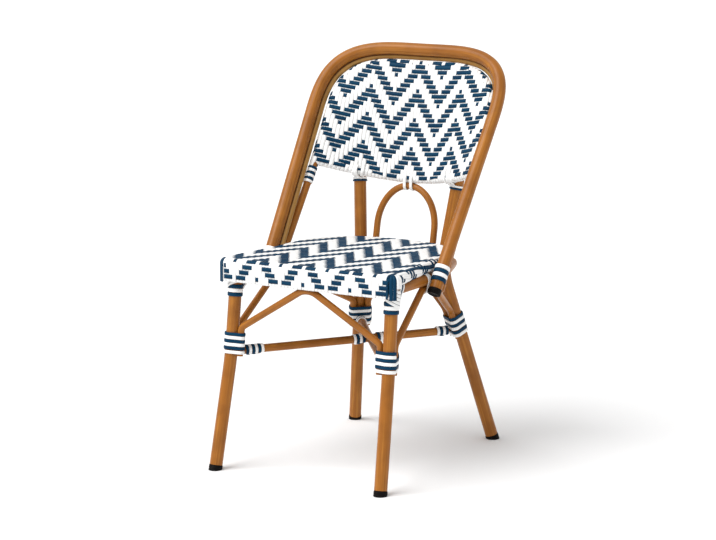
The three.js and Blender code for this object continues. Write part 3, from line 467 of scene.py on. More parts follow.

# The plug is longer than the real one, and its collar runs up the tube: partly the real black plug, partly
# painted shade at the bow's end
plug = {
    "radius": 14.5, "length": 8, "collarAndPaintedShade": 5, "rim": 1.8, "dish": 1.2, "dishHalf": 0.62, "lipHalf": 0.7,
    "lip": 0.2, "head": 0.4, "sharp": 50,
}
r, rim, height = plug["radius"], plug["rim"], plug["length"] + plug["collarAndPaintedShade"]
plugProfile = [
    (0, plug["dish"]), (r * plug["dishHalf"], plug["dish"]), (r * plug["lipHalf"], plug["lip"]), (r - rim, 0),
    (r - rim * 0.3, rim * 0.3), (r, rim), (r, height - plug["head"]), (r - plug["head"], height), (0, height),
]
# black plugs on the bow's ends, enlarged to carry painted shade there as well
for word, flip in sides:
    tail = bowPath * flip
    axis = unit(tail[1] - tail[0])
    addTurned(f"bowPlug_{word}", plugProfile, tail[0] - axis * plug["length"], axis, plug["sharp"],
              f"bow_plug_{word}")


# Rails under the seat
def straightRail(name, node, radius):
    low, high = (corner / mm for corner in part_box(node))
    middle = (low + high) / 2
    ends = [(x, middle.y - planShift, middle.z) for x in (low.x, high.x)]
    addTube(name, np.array(ends), radius, node)
    return middle.z


frontRailZ = straightRail("frontRail", "front_rail", rails["frontRadius"])
rearRailZ = straightRail("rearRail", "rear_rail", rails["rearRadius"])


def onLeg(line, z):
    a, b = (line[1], line[2]) if z > line[1][2] else (line[0], line[1])
    return a + (b - a) * (z - a[2]) / (b[2] - a[2])


def sideRailPath():
    legSpot = np.array([np.interp(railZ, rearPath[:, 2], column) for column in rearPath.T])
    turn = math.radians(rails["endTurn"])
    aim = np.array((math.cos(turn), -math.sin(turn), 0))
    startY = onLeg(frontLine, railZ)[1] + legs["radius"] + rails["startGap"]
    turnY = seat["waistY"] + (seat["rearY"] - seat["waistY"]) / 3
    points = [(railHalf, startY, railZ), (railHalf, turnY, railZ)]
    points += [legSpot + aim * rails["endReach"], legSpot + aim * (legs["radius"] + touchGap)]
    return roundedPath(points, [rails["bend"], rails["endBend"]])


for word, flip in sides:
    addTube(f"sideRail_{word}", sideRailPath() * flip, rails["sideRadius"], f"side_rail_{word}")

# Small arch between the rear rail and the panel
arch = {"half": 73, "footY": 181.5, "topY": 207, "rise": 90, "radius": 7.5}
archFootZ = rearRailZ + rails["rearRadius"] + touchGap
railMiddle = panelPoint(0.0, railUp(0.0))
archTopZ = railMiddle[2] - hoop["railRadius"] - touchGap - arch["radius"]
archLean = (arch["topY"] - arch["footY"]) / (archTopZ - archFootZ)
archX, archZ = crownCurve(arch["half"], archTopZ - arch["rise"], archTopZ, 2, 2, steps=61)
archX = np.concatenate(([arch["half"]], archX, [-arch["half"]]))
archZ = np.concatenate(([archFootZ], archZ, [archFootZ]))
archLine = np.stack((archX, arch["footY"] + (archZ - archFootZ) * archLean, archZ), axis=1)
addTube("smallArch", archLine, arch["radius"], "back_arch")

# Braces beside the legs
strand = {
    "thick": 2.2, "gap": 0.6, "clear": 0.3, "slack": 0.9, "climb": math.pi / 2,
    "wall": 0.82, "edgeDrop": 0.28, "softEdge": 0.35,  # wall and edge drop as shares of the thickness
}
binds = {
    "band": 7.5, "room": 4.8, "strandRoom": 1.2, "front": (5, 1), "rear": (4, 2), "frontZ": 252, "rearZ": 258,
    "wrapBand": 7, "turnSteps": 40,
}
brace = {
    "radius": 7.5, "knee": 8, "room": 4, "crown": 12, "crownHalf": 13, "sideStart": -64, "sideEnd": -14,
    "turn": math.radians(8.92),
}
frontward = np.array((math.sin(brace["turn"]), -math.cos(brace["turn"]), 0))
besideLeg = legs["radius"] + touchGap + brace["radius"]
underRail = touchGap + brace["radius"]
studExit = besideLeg * math.sqrt(0.5) + brace["radius"] + strand["thick"] / 2


def bindingSpan(line, z, other, otherZ, bands):
    way = unit(mirrored(onLeg(other, otherZ)) - onLeg(line, z))
    axis = unit(onLeg(line, z - binds["band"]) - onLeg(line, z + binds["band"]))
    middle = z + studExit * way.dot(axis) * axis[2]
    above, below = (binds["room"] / 2 + count * binds["band"] for count in bands)
    return {"middle": middle, "top": middle + above, "foot": middle - below, "start": -above, "bands": bands}


frontSpan = bindingSpan(frontLine, binds["frontZ"], rearLine, binds["rearZ"], binds["front"])
rearSpan = bindingSpan(rearLine, binds["rearZ"], frontLine, binds["frontZ"], binds["rear"])


def besideAt(line, direction, z):
    axis = unit(line[1] - line[0])
    return onLeg(line, z) + unit(direction - axis * direction.dot(axis)) * besideLeg


def tentPath(line, span, crownY, crownZ):
    kneeZ = span["top"] + brace["knee"] + brace["room"]
    right = [besideAt(line, towardsMiddle, span["foot"]), besideAt(line, towardsMiddle, kneeZ)]
    right.append(np.array((brace["crownHalf"], crownY, crownZ)))
    left = [mirrored(spot) for spot in right[::-1]]
    return roundedPath(right + left, [brace["knee"], brace["crown"], brace["crown"], brace["knee"]])


sideCrownZ = railZ - rails["sideRadius"] - underRail
rise = brace["knee"] + brace["room"]
sideBracePath = roundedPath([
    besideAt(frontLine, rearward, frontSpan["foot"]), besideAt(frontLine, rearward, frontSpan["top"] + rise),
    (railHalf, brace["sideStart"], sideCrownZ), (railHalf, brace["sideEnd"], sideCrownZ),
    besideAt(rearLine, frontward, rearSpan["top"] + rise), besideAt(rearLine, frontward, rearSpan["foot"]),
], [brace["knee"], brace["crown"] / 2, brace["crown"] / 2, brace["knee"]])
frontTent = tentPath(frontLine, frontSpan, rails["frontY"], frontRailZ - rails["frontRadius"] - underRail)
rearTent = tentPath(rearLine, rearSpan, arch["footY"], rearRailZ - rails["rearRadius"] - underRail)
addTube("frontBrace", frontTent, brace["radius"], "front_brace")
addTube("rearBrace", rearTent, brace["radius"], "rear_brace")
for word, flip in sides:
    addTube(f"sideBrace_{word}", sideBracePath * flip, brace["radius"], f"side_brace_{word}")
print("legs, rails and braces ready")


# Bindings: a flat strand wound round a bundle of tubes
def tubeAlong(spot, way, radius):
    return {"spot": spot, "way": way, "radius": radius}


def straight(start, end, radius):
    return tubeAlong(start, unit(end - start), radius)


def bundleOf(origin, axis, climbSide, *tubes):
    w = unit(axis)
    e1 = unit(climbSide - w * climbSide.dot(w))
    half = strand["climb"] / 2
    e1 = e1 * math.cos(half) + np.cross(w, e1) * math.sin(half)
    return {"origin": origin, "w": w, "e1": e1, "e2": np.cross(w, e1), "tubes": tubes}


def downTube(top, low, radius):
    return bundleOf(top, low - top, rearward, straight(low, top, radius))


# Parallel tubes, each given by a place and a radius
def tiedTubes(way, climbSide, *tubes):
    return bundleOf(tubes[0][0], way, climbSide, *(tubeAlong(spot, way, radius) for spot, radius in tubes))


# The place on one tube of the bundle that lies farthest outward at a station
def tubeSupport(bundle, choice, station, outward, grow):
    tube = bundle["tubes"][choice]
    along = tube["way"].dot(bundle["w"])
    travel = (station - (tube["spot"] - bundle["origin"]).dot(bundle["w"])) / along
    centre = tube["spot"] + tube["way"] * travel
    slant = tube["way"] - bundle["w"] * along
    stretch = outward.dot(slant) / along
    radius = (tube["radius"] + strand["clear"]) * grow
    reach = math.sqrt(1 + stretch * stretch)
    return centre + outward * (radius / reach) + slant * (radius * stretch / reach / along)


def bundleChoice(bundle, station, outward):
    choices = range(len(bundle["tubes"]))
    return int(np.argmax([tubeSupport(bundle, k, station, outward, 1).dot(outward) for k in choices]))


def windingStations(bundle, levels, turnSteps):
    total = 2 * math.pi * len(levels) - strand["climb"]
    count = round(total / (2 * math.pi) * turnSteps)

    def stationAt(turn):
        k = min(len(levels) - 1, int(turn / (2 * math.pi)))
        part = (turn - 2 * math.pi * (k + 1) + strand["climb"]) / strand["climb"]
        part = min(1, max(0, part))
        following = levels[min(len(levels) - 1, k + 1)]
        height = levels[k] + (following - levels[k]) * part * part * (3 - 2 * part)
        outward = bundle["e1"] * math.cos(turn) + bundle["e2"] * math.sin(turn)
        return height, outward, bundleChoice(bundle, height, outward)

    stations = []
    for i in range(count + 1):
        low, high = total * i / count, total * (i + 1) / count
        here = stationAt(low)
        stations.append(here)
        if i < count and stationAt(high)[2] != here[2]:  # where the strand passes to another tube
            for _ in range(16):
                middle = (low + high) / 2
                if stationAt(middle)[2] == here[2]:
                    low = middle
                else:
                    high = middle
            stations += [stationAt(low), stationAt(high)]
    return stations


def writeUvs(uvLayer, flat):
    for vert, spot in flat.items():
        for loop in vert.link_loops:
            loop[uvLayer].uv = spot


# One strand as a crowned ribbon: a grid laid along its stations
def windingMesh(name, bundle, levels, band, turnSteps):
    stations = windingStations(bundle, levels, turnSteps)
    halfWidth = (band - strand["gap"]) / 2
    grow = 1 / math.cos(math.pi / turnSteps)
    bm = bmesh.new()
    uvLayer = bm.loops.layers.uv.new("UVMap")
    bmesh.ops.create_grid(bm, x_segments=len(stations) - 1, y_segments=4, size=1)
    lengths = lengthsAlong([tubeSupport(bundle, choice, height, outward, grow)
                            for height, outward, choice in stations])
    flat = {}
    for vert in bm.verts:
        i = round((vert.co.x + 1) / 2 * (len(stations) - 1))
        share = vert.co.y
        height, outward, choice = stations[i]
        spot = tubeSupport(bundle, choice, height + share * halfWidth, outward, grow)
        crown = strand["thick"] * (1 - strand["edgeDrop"] * abs(share) ** 3)
        flat[vert] = (lengths[i] * mm, (share * halfWidth + levels[0]) * mm)
        vert.co = place(*(spot + outward * crown))
    writeUvs(uvLayer, flat)
    bm.faces.ensure_lookup_table()
    bm.normal_update()
    if bm.faces[0].normal.dot(Vector(stations[0][1])) < 0:
        bmesh.ops.reverse_faces(bm, faces=bm.faces)
    return meshOf(name, bm)


def thicken(piece, thickness, offset, bevel=0):
    solid = piece.modifiers.new("strandWall", "SOLIDIFY")
    solid.thickness = thickness * mm
    solid.offset = offset
    solid.use_rim = True
    if bevel:
        edge = piece.modifiers.new("softEdge", "BEVEL")
        edge.width = bevel * mm
        edge.segments = 2
        edge.limit_method = "ANGLE"
        edge.angle_limit = math.radians(50)
        edge.use_clamp_overlap = True


def addWinding(name, look, bundle, levels, band, *replaced, turnSteps=28):
    piece = addPiece(name, windingMesh(name, bundle, levels, band, turnSteps), look, *replaced)
    thicken(piece, strand["thick"] * strand["wall"], -1, bevel=strand["softEdge"])


# Two strands side by side, with room for a stud after a number of bands where one is given
def pairBinding(node, start, band, count, bundle, whiteFirst=False, room=0, roomAfter=0, turnSteps=28):
    for look in ("navy", "white"):
        first = int((look == "white") != whiteFirst)
        levels = [start + band * (i + 0.5) + (room if i >= roomAfter else 0) for i in range(first, count, 2)]
        addWinding(f"strand_{node}_{look}", look, bundle, levels, band, f"{node}_{look}", turnSteps=turnSteps)


def legBinding(node, flip, line, span, outer, climbSide):
    low, high = (onLeg(line, span[end]) * flip for end in ("foot", "top"))
    tubes = [straight(low, high, legs["radius"] + strand["slack"])]
    for direction in (towardsMiddle, outer):
        ends = [besideAt(line, direction, span[end]) * flip for end in ("foot", "top")]
        tubes.append(straight(*ends, brace["radius"]))
    bundle = bundleOf(onLeg(line, span["middle"]) * flip, low - high, climbSide * flip, *tubes)
    pairBinding(node, span["start"], binds["band"], sum(span["bands"]), bundle,
                room=binds["strandRoom"], roomAfter=span["bands"][0], turnSteps=binds["turnSteps"])
    return bundle


bundles = {}
for word, flip in sides:
    for leg, line, span, outer, climbSide in (
        ("front", frontLine, frontSpan, rearward, np.array((1.0, 1, 0))),
        ("rear", rearLine, rearSpan, frontward, np.array((-1.0, 1, 0))),
    ):
        bundle = legBinding(f"{leg}_binding_{word}", flip, line, span, outer, climbSide)
        bundles[f"{leg}_{word}"] = bundle

# Crossed stretchers
stretcher = {
    "radius": 9, "studRadius": 2, "studFrom": 14.5, "sink": 0.2, "clear": 0.6, "facets": 8,
    "frontBands": 6, "rearBands": 4,
}


# How far from the leg's middle a stretcher's body may start, clear of the binding
def bodyStart(bundle, centre, direction):
    outward = unit(direction - bundle["w"] * direction.dot(bundle["w"]))
    station = (centre - bundle["origin"]).dot(bundle["w"])
    choice = bundleChoice(bundle, station, outward)
    grow = 1 / math.cos(math.pi / stretcher["facets"])
    edge = (tubeSupport(bundle, choice, station, outward, grow) - centre).dot(outward)
    lean = math.acos(direction.dot(bundle["w"]))
    cover = strand["thick"] + stretcher["clear"]
    return (edge + cover + (stretcher["radius"] + cover) * abs(math.cos(lean))) / math.sin(lean)


def stretcherWrap(node, start, direction, first, count):
    bundle = tiedTubes(direction, downward, (start, stretcher["radius"]))
    pairBinding(node, first + touchGap, binds["wrapBand"], count, bundle)


def addStretcher(name, node, start, way, first, last, endStud=0):
    def part(low, high, radius, smooth):
        return tubeMesh(name, np.array([start + way * low, start + way * high]), radius, smooth=smooth)

    parts = [part(first, last, stretcher["radius"], 6)]
    parts.append(part(stretcher["studFrom"], first + stretcher["sink"], stretcher["studRadius"], 2))
    if endStud:
        parts.append(part(last - stretcher["sink"], endStud, stretcher["studRadius"], 2))
    addPiece(name, joinMeshes(name, parts), "cane", node)


frontEnd = onLeg(frontLine, binds["frontZ"])
rearEnd = onLeg(rearLine, binds["rearZ"])
longFrom = mirrored(frontEnd)
longWay = unit(rearEnd - longFrom)
longLength = np.linalg.norm(rearEnd - longFrom)
longStart = bodyStart(bundles["front_left"], longFrom, longWay)
longEnd = bodyStart(bundles["rear_right"], rearEnd, -longWay)
addStretcher("longStretcher", "stretcher_long", longFrom, longWay, longStart, longLength - longEnd,
             endStud=longLength - stretcher["studFrom"])
stretcherWrap("stretcher_wrap_front_left", longFrom, longWay, longStart, stretcher["frontBands"])
stretcherWrap("stretcher_wrap_rear_right", rearEnd, -longWay, longEnd, stretcher["rearBands"])

share = frontEnd[0] / (frontEnd[0] + rearEnd[0])
crossing = frontEnd + (mirrored(rearEnd) - frontEnd) * share
skew = np.linalg.norm(np.cross(longWay, mirrored(longWay)))
blunt = stretcher["radius"] * math.sqrt(1 - skew * skew)
halves = (("near", "front", "right", frontEnd), ("far", "rear", "left", mirrored(rearEnd)))
for word, leg, hand, start in halves:
    way = unit(crossing - start)
    first = bodyStart(bundles[f"{leg}_{hand}"], start, way)
    last = np.linalg.norm(crossing - start) - (stretcher["radius"] + touchGap + blunt) / skew
    addStretcher(f"{word}HalfStretcher", f"stretcher_half_{leg}", start, way, first, last)
    stretcherWrap(f"stretcher_wrap_{leg}_{hand}", start, way, first, stretcher[f"{leg}Bands"])

crossWraps = {"offset": 14, "band": 7}
for word, way in (("front", -longWay), ("rear", longWay)):
    bundle = tiedTubes(way, downward, (crossing, stretcher["radius"]))
    band = crossWraps["band"]
    levels = [crossWraps["offset"] + band * (i + 0.5) for i in range(4)]
    addWinding(f"strand_crossing_{word}_navy", "navy", bundle, levels[::2], band, f"crossing_wrap_{word}")
    addWinding(f"strand_crossing_{word}_white", "white", bundle, levels[1::2], band)

# Bindings at the front legs' tops, on the bow's tails and on the hoop
tops = {"drop": 60, "band": 8.8, "bowBand": 9.2, "bowUp": 6, "cornerBand": 6.7, "cornerDrop": 8}


def bowAt(up):
    return backPoint(bowBaseHalf + back["spread"] * up / back["shoulder"], up, 0)


for word, flip in sides:
    topZ = seat["top"] - tops["drop"]
    top, low = (onLeg(frontLine, z) * flip for z in (topZ, topZ - 3 * tops["band"]))
    pairBinding(f"top_binding_{word}", 0, tops["band"], 3, downTube(top, low, legs["radius"]))

    top, low = bowAt(tops["bowUp"]) * flip, bowAt(-back["tail"]) * flip
    bundle = downTube(top, low, back["radius"])
    pairBinding(f"bow_binding_{word}", 0, tops["bowBand"], 4, bundle, whiteFirst=True)

    up = hoop["cornerUp"] - hoop["railRadius"] - tops["cornerDrop"]
    top, low = (backPoint(limbHalf(height), height, hoop["behind"]) * flip for height in (up, 0))
    pairBinding(f"corner_binding_{word}", 0, tops["cornerBand"], 6, downTube(top, low, hoop["radius"]))

tie = {"band": 8, "apart": 8}
alongPanel = -towardsMiddle
wovenRail = hoop["railRadius"] + strand["slack"] + strand["thick"]  # the bottom rail with the weave on it
archTop = np.array((0, arch["topY"], archTopZ))
bundle = tiedTubes(alongPanel, rearward, (railMiddle, wovenRail), (archTop, arch["radius"] + strand["slack"]))
addWinding("strand_arch_tie", "white", bundle, [-tie["apart"], tie["apart"]], tie["band"], "arch_tie")

railTie = {"y": -54, "band": 7.2}
lashing = {"band": 4.8, "slope": 1.38, "behind": 18, "tuck": 12, "core": 5}  # turns tuck in behind the leg
slanting = {"z": 396, "slant": np.array((0.5, 0.3, 1.0)), "band": 6.6, "proud": 2.2, "turns": 5}
post = {"tieX": 121, "tieZ": 590, "ringZ": 582, "ringBand": 5}
for word, flip in sides:
    railSpot, braceSpot = (np.array((railHalf, railTie["y"], z)) * flip for z in (railZ, sideCrownZ))
    tubes = ((railSpot, rails["sideRadius"]), (braceSpot, brace["radius"]))
    bundle = tiedTubes(rearward, towardsMiddle * flip, *tubes)
    levels = [-railTie["band"] / 2, railTie["band"] / 2]
    addWinding(f"railTie_{word}", "white", bundle, levels, railTie["band"])

    low, top = frontLine[1] * flip, frontLine[2] * flip
    core = straight(low + rearward * lashing["tuck"], top + rearward * lashing["tuck"], lashing["core"])
    start = np.array((railHalf, onLeg(frontLine, railZ)[1] + lashing["behind"], railZ)) * flip
    slant = np.array((0, lashing["slope"], -1.0))
    bundle = bundleOf(start, slant, towardsMiddle * flip,
                      tubeAlong(start, rearward, rails["sideRadius"]), core)
    levels = [lashing["band"] * i for i in range(4)]
    addWinding(f"cornerLashing_{word}_white", "white", bundle, levels[1::2], lashing["band"])
    addWinding(f"cornerLashing_{word}_navy", "navy", bundle, levels[::2], lashing["band"])

    legTube = straight(low, top, legs["radius"] + slanting["proud"])
    start = onLeg(frontLine, slanting["z"]) * flip
    bundle = bundleOf(start, slanting["slant"] * flip, towardsMiddle * flip, legTube)
    levels = [slanting["band"] * turn for turn in range(slanting["turns"])]
    addWinding(f"slantLashing_{word}", "white", bundle, levels, slanting["band"])

    railSpot = panelPoint(post["tieX"], railUp(post["tieX"])) * flip
    postSpot = onLeg(rearLine, post["tieZ"]) * flip
    bundle = tiedTubes(alongPanel, rearward, (railSpot, wovenRail), (postSpot, legs["radius"]))
    addWinding(f"postTie_{word}", "white", bundle, [-tie["band"] / 2, tie["band"] / 2], tie["band"])

    band = post["ringBand"]
    bundle = downTube(onLeg(rearLine, post["ringZ"]) * flip, rearLine[1] * flip, legs["radius"])
    addWinding(f"postRing_{word}_white", "white", bundle, [band * 0.5], band)
    addWinding(f"postRing_{word}_navy", "navy", bundle, [band * 1.5], band)
print("bindings ready")


# Woven sheets: flat strands over and under each other, then bent onto their surface
def flatStrand(bm, uvLayer, strip, upright, step, crown, slim):
    spot, width, low, high, knots = strip
    grid = bmesh.ops.create_grid(bm, x_segments=max(2, round((high - low) / step)), y_segments=2, size=1)
    places, heights = zip(*knots)
    flat = {}
    for vert in grid["verts"]:
        share = vert.co.y
        along = low + (high - low) * (vert.co.x + 1) / 2
        taper = 1 - min(1, max(0, min(along - low, high - along) - slim["from"]) / slim["fade"])
        across = share * (1 - slim["by"] * taper) * width / 2
        height = np.interp(along, places, heights) + crown * (1 - share * share)
        if upright:
            vert.co = (spot - across, along, height)
            flat[vert] = (along * mm, vert.co.x * mm)
        else:
            vert.co = (along, spot + across, height)
            flat[vert] = (along * mm, vert.co.y * mm + 3)  # apart from the upright strands' pattern
    writeUvs(uvLayer, flat)


evenWidth = {"from": 0, "fade": 8, "by": 0}
sheetThick = 0.9


def addSheet(name, look, strips, upright, step, crown, bend, *replaced, slim=evenWidth):
    bm = bmesh.new()
    uvLayer = bm.loops.layers.uv.new("UVMap")
    for strip in strips:
        flatStrand(bm, uvLayer, strip, upright, step, crown, slim)
    mesh = meshOf(name, bm)
    spots = np.zeros(len(mesh.vertices) * 3, np.float32)
    mesh.vertices.foreach_get("co", spots)
    bent = (bend(*spots.reshape(-1, 3).astype(float).T) + np.array((0, planShift, 0))) * mm
    mesh.vertices.foreach_set("co", bent.astype(np.float32).ravel())
    mesh.update()
    thicken(addPiece(name, mesh, look, *replaced), sheetThick, 0)


# Nearest place on a plan outline: its index, and the distance with inside positive
def nearestOn(outline, outward, spots):
    index = np.zeros(len(spots), int)
    for start in range(0, len(spots), 4000):  # some at a time, to spare memory
        block = spots[start:start + 4000]
        index[start:start + 4000] = np.linalg.norm(block[:, None] - outline[None], axis=2).argmin(axis=1)
    return index, -((spots - outline[index]) * outward[index]).sum(axis=1)


def outwardOf(outline, middle):
    along = np.gradient(outline, axis=0)
    along /= np.linalg.norm(along, axis=1)[:, None]
    outward = np.stack((along[:, 1], -along[:, 0]), axis=1)
    return outward * np.sign(((outline - middle) * outward).sum(axis=1))[:, None]


# The weave's order: navy shows at three places of six, along zigzag lines
def isNavyOver(c, r, period=7):
    k = abs(c) % (2 * period)
    return (r - min(k, 2 * period - k)) % 6 < 3


# The longest stretch from low to high where the test holds
def clipRange(low, high, test, step=2.0):
    places = np.arange(low, high + step, step)
    best, run = [], []
    for spot, good in zip(places, test(places)):
        run = run + [spot] if good else []
        best = run if len(run) > len(best) else best
    return (best[0], best[-1]) if best else None


# Strands laid at their places, each as long as the sheet there, with a knot at each crossing
def layWarps(columns, rows, low, high, isInside, width, liftAt):
    strips = []
    for c, x in columns:
        span = clipRange(low, high, lambda y: isInside(x, y))
        if span:
            strips.append((x, width, *span, sorted((y, liftAt(c, r, y)) for r, y in rows)))
    return strips


def layWefts(rows, columns, half, isInside, width, liftAt):
    strips = []
    for r, y in rows:
        span = clipRange(-half, half, lambda x: isInside(x, y))
        if span:
            strips.append((y, width, *span, sorted((x, -liftAt(c, r, y)) for c, x in columns)))
    return strips


# Back panel: s runs across along its curve, w upwards from the bottom rail
panel = {
    "columnPitch": 8.4, "columns": 29, "warp": 8.38, "weft": 7.9, "roll": 9.9, "lift": 0.65, "rows": 24,
    "wrap": 300, "stretch": 1.018, "foldLift": 0.1, "curveUp": 390.0, "limbFrom": 150, "middleUp": 330.0,
    "past": 60, "halfWidth": 320, "warpCrown": 0.12, "weftCrown": 0.3,
}
arcX = np.linspace(0, hoopTopHalf, 400)
arcS = lengthsAlong(panelPoint(arcX, np.full(400, panel["curveUp"])))


def alongCurve(value, source, target):
    size = np.abs(value)
    return np.sign(value) * (np.interp(size, source, target) + np.maximum(0, size - source[-1]))


def acrossToX(s):
    return alongCurve(s, arcS, arcX)


def rowUp(x, w):
    return railUp(x) + w * (hoopTop - railUp(x)) / panelHeight


panelHeight = hoopTop - hoop["railUp"]
rowPitch = panelHeight * panel["stretch"] / panel["rows"]
wrapLength = panel["roll"] * math.radians(panel["wrap"])
limbUps = np.linspace(panel["limbFrom"], back["shoulder"], 60)[:-1]
limbPlan = np.stack((limbHalf(limbUps), limbUps), axis=1)
crownPlan = np.stack(backCrown(hoopTopHalf, hoopTop), axis=1)
hoopPlan = np.concatenate((limbPlan, crownPlan, limbPlan[::-1] * (-1, 1)))
hoopPlan = evenPath(np.stack((alongCurve(hoopPlan[:, 0], arcX, arcS), hoopPlan[:, 1]), axis=1), 2)
hoopOut = outwardOf(hoopPlan, np.array((0, panel["middleUp"])))


# Directions outwards along the panel and square to it, taken a little inside its edge
def panelFrame(s, up, out):
    inS, inUp = s - out[:, 0] * 2, up - out[:, 1] * 2
    here = panelPoint(acrossToX(inS), inUp)
    there = panelPoint(acrossToX(inS + out[:, 0]), inUp + out[:, 1])
    side = panelPoint(acrossToX(inS - out[:, 1]), inUp + out[:, 0])
    e = there - here
    e /= np.linalg.norm(e, axis=1)[:, None]
    normal = np.cross(e, side - here)
    normal /= np.linalg.norm(normal, axis=1)[:, None]
    return e, normal


# A place on the sheet, rolled round the tube there by its length past the edge
def onPanel(s, up, out, past, lift):
    e, normal = panelFrame(s, up, out)
    turn = (past / panel["roll"])[:, None]
    reach = (panel["roll"] + lift)[:, None]
    return panelPoint(acrossToX(s), up) + reach * (np.sin(turn) * e + np.cos(turn) * normal)


def bendToPanel(s, w, lift):
    x = acrossToX(s)
    up = rowUp(x, w)
    down = np.tile(np.array((0.0, -1.0)), (len(s), 1))
    index, inside = nearestOn(hoopPlan, hoopOut, np.stack((s, up), axis=1))
    bent = onPanel(s, up, down, np.zeros(len(s)), lift)
    low = w < 0  # round the bottom rail
    bent[low] = onPanel(s[low], railUp(x[low]), down[low], -w[low], lift[low])
    past = inside < 0  # round the hoop
    near = hoopPlan[index[past]]
    bent[past] = onPanel(near[:, 0], near[:, 1], hoopOut[index[past]], -inside[past], lift[past])
    return bent


def panelInside(s, w):
    s, w = np.broadcast_arrays(s, w)
    inside = nearestOn(hoopPlan, hoopOut, np.stack((s, rowUp(acrossToX(s), w)), axis=1))[1]
    return (inside > -wrapLength) & (w > -wrapLength)


def isWoven(w):
    return -rowPitch / 2 < w < rowPitch * (panel["rows"] + 0.5)


def panelLift(c, r, w):
    if not isWoven(w):
        return panel["foldLift"]
    return -panel["lift"] if isNavyOver(c, r) else panel["lift"]


rowList = [(r, (panel["rows"] - r) * rowPitch) for r in range(-4, panel["rows"] + 5)]
columnList = [(c, c * panel["columnPitch"]) for c in range(-panel["columns"], panel["columns"] + 1)]
warps = layWarps(columnList, rowList, -panel["past"], panelHeight + panel["past"], panelInside,
                 panel["warp"], panelLift)
wefts = layWefts([row for row in rowList if isWoven(row[1])], columnList, panel["halfWidth"], panelInside,
                 panel["weft"], panelLift)
addSheet("panelWarps", "white", warps, True, rowPitch / 3, panel["warpCrown"], bendToPanel, "back_weave")
addSheet("panelWefts", "navy", wefts, False, panel["columnPitch"] / 3, panel["weftCrown"], bendToPanel)

panelTie = {
    "columns": (-14, 14), "aside": 1.0, "width": 7.8, "top": 23,
    "knots": ((-60, 2.1), (16, 2.1), (22, 0.2), (23, -0.8)),  # height over the sheet at places w
}
ties = []
for c in panelTie["columns"]:
    for aside in (-panelTie["aside"], panelTie["aside"]):
        s = (c + aside) * panel["columnPitch"]
        ties.append((s, panelTie["width"], -wrapLength, panelTie["top"], panelTie["knots"]))
addSheet("panelTies", "white", ties, True, 2, 0.3, bendToPanel)
print("back panel woven", len(warps), len(wefts))

# Seat
seatWeave = {
    "columnPitch": 8.2, "columns": 30, "warp": 8.17, "centre": -4, "navyColumn": 25, "topPitch": 13.2,
    "apronPitch": 12.0, "topWeft": 11.2, "apronWeft": 9.0, "roll": 12.3, "lift": 0.65, "wrap": 255,
    "foldRow": 4, "foldOffset": 21.2, "rows": (-30, 6), "apronRows": 2, "rearEdge": 230, "halfWidth": 280,
    "slimBy": 0.42, "slimBefore": 4, "cornerPast": 4, "cornerReach": 3,
    "warpCrown": 0.14, "weftCrown": 0.3, "navyCrown": 0.25,
}
ringZ = seat["top"] - seat["roll"]
frontLineY = seat["frontY"] + seat["roll"]
quarter = seatWeave["roll"] * math.pi / 2
seatMiddle = np.array((0, seat["middleY"]))


def seatOutline(inset):
    def corner(side):
        turn = np.linspace(-math.pi / 2, 0, 13) if side > 0 else np.linspace(math.pi, 1.5 * math.pi, 13)
        x = side * (seat["frontHalf"] - seat["corner"]) + (seat["corner"] - inset) * np.cos(turn)
        y = seat["frontY"] + seat["corner"] + (seat["corner"] - inset) * np.sin(turn)
        return np.stack((x, y), axis=1)

    powers = (seat["power"], seat["power"])
    rear = np.stack(crownCurve(seat["backHalf"], seat["waistY"], seat["rearY"], *powers, steps=121), axis=1)
    loop = np.concatenate((corner(1), rear - outwardOf(rear, seatMiddle) * inset, corner(-1)))
    return np.concatenate((loop, loop[:1]))


seatPlan = evenPath(seatOutline(seat["roll"]), 2)
seatOut = outwardOf(seatPlan, seatMiddle)


def bendToSeat(x, y, lift):
    roll = seatWeave["roll"]
    index, inside = nearestOn(seatPlan, seatOut, np.stack((x, y), axis=1))
    front = (y < frontLineY) & (np.abs(x) < seat["frontHalf"] - seat["corner"] + seatWeave["cornerPast"])
    inside = np.where(front, y - frontLineY, inside)
    frontNear = np.stack((x, np.full(len(x), frontLineY)), axis=1)
    near = np.where(front[:, None], frontNear, seatPlan[index])
    out = np.where(front[:, None], np.array((0.0, -1.0)), seatOut[index])
    run = -inside
    drop = front & (run > quarter)
    turn = np.where(drop, math.pi / 2, run / roll)
    plan = near + out * ((roll + lift) * np.sin(turn))[:, None]
    height = ringZ + (roll + lift) * np.cos(turn) - np.where(drop, run - quarter, 0)
    flat = np.stack((x, y, ringZ + roll + lift), axis=1)
    return np.where((inside < 0)[:, None], np.column_stack((plan, height)), flat)


def seatRowY(r):
    pitch = seatWeave["apronPitch"] if r > seatWeave["foldRow"] else seatWeave["topPitch"]
    return frontLineY - seatWeave["foldOffset"] - pitch * (r - seatWeave["foldRow"])


firstRow, lastRow = seatWeave["rows"]
seatRows = [(r, seatRowY(r)) for r in range(lastRow, firstRow - 1, -1)]
seatColumns = [(c, seatWeave["centre"] + c * seatWeave["columnPitch"])
               for c in range(-seatWeave["columns"], seatWeave["columns"] + 1)]
seatWrap = seatWeave["roll"] * math.radians(seatWeave["wrap"])
apronDrop = quarter + ringZ - seat["apronBottom"]
cornerX = seat["frontHalf"] - seat["corner"] + seatWeave["cornerReach"]


def seatInside(x, y):
    x, y = np.broadcast_arrays(x, y)
    inside = nearestOn(seatPlan, seatOut, np.stack((x, y), axis=1))[1]
    frontGood = (np.abs(x) < cornerX) & (y > frontLineY - apronDrop)
    return np.where(y < frontLineY, frontGood, inside > -seatWrap)


def seatLift(c, r, y):
    return -seatWeave["lift"] if isNavyOver(c, r) else seatWeave["lift"]


def seatWarps(columns):
    return layWarps(columns, seatRows, frontLineY - apronDrop, seatWeave["rearEdge"], seatInside,
                    seatWeave["warp"], seatLift)


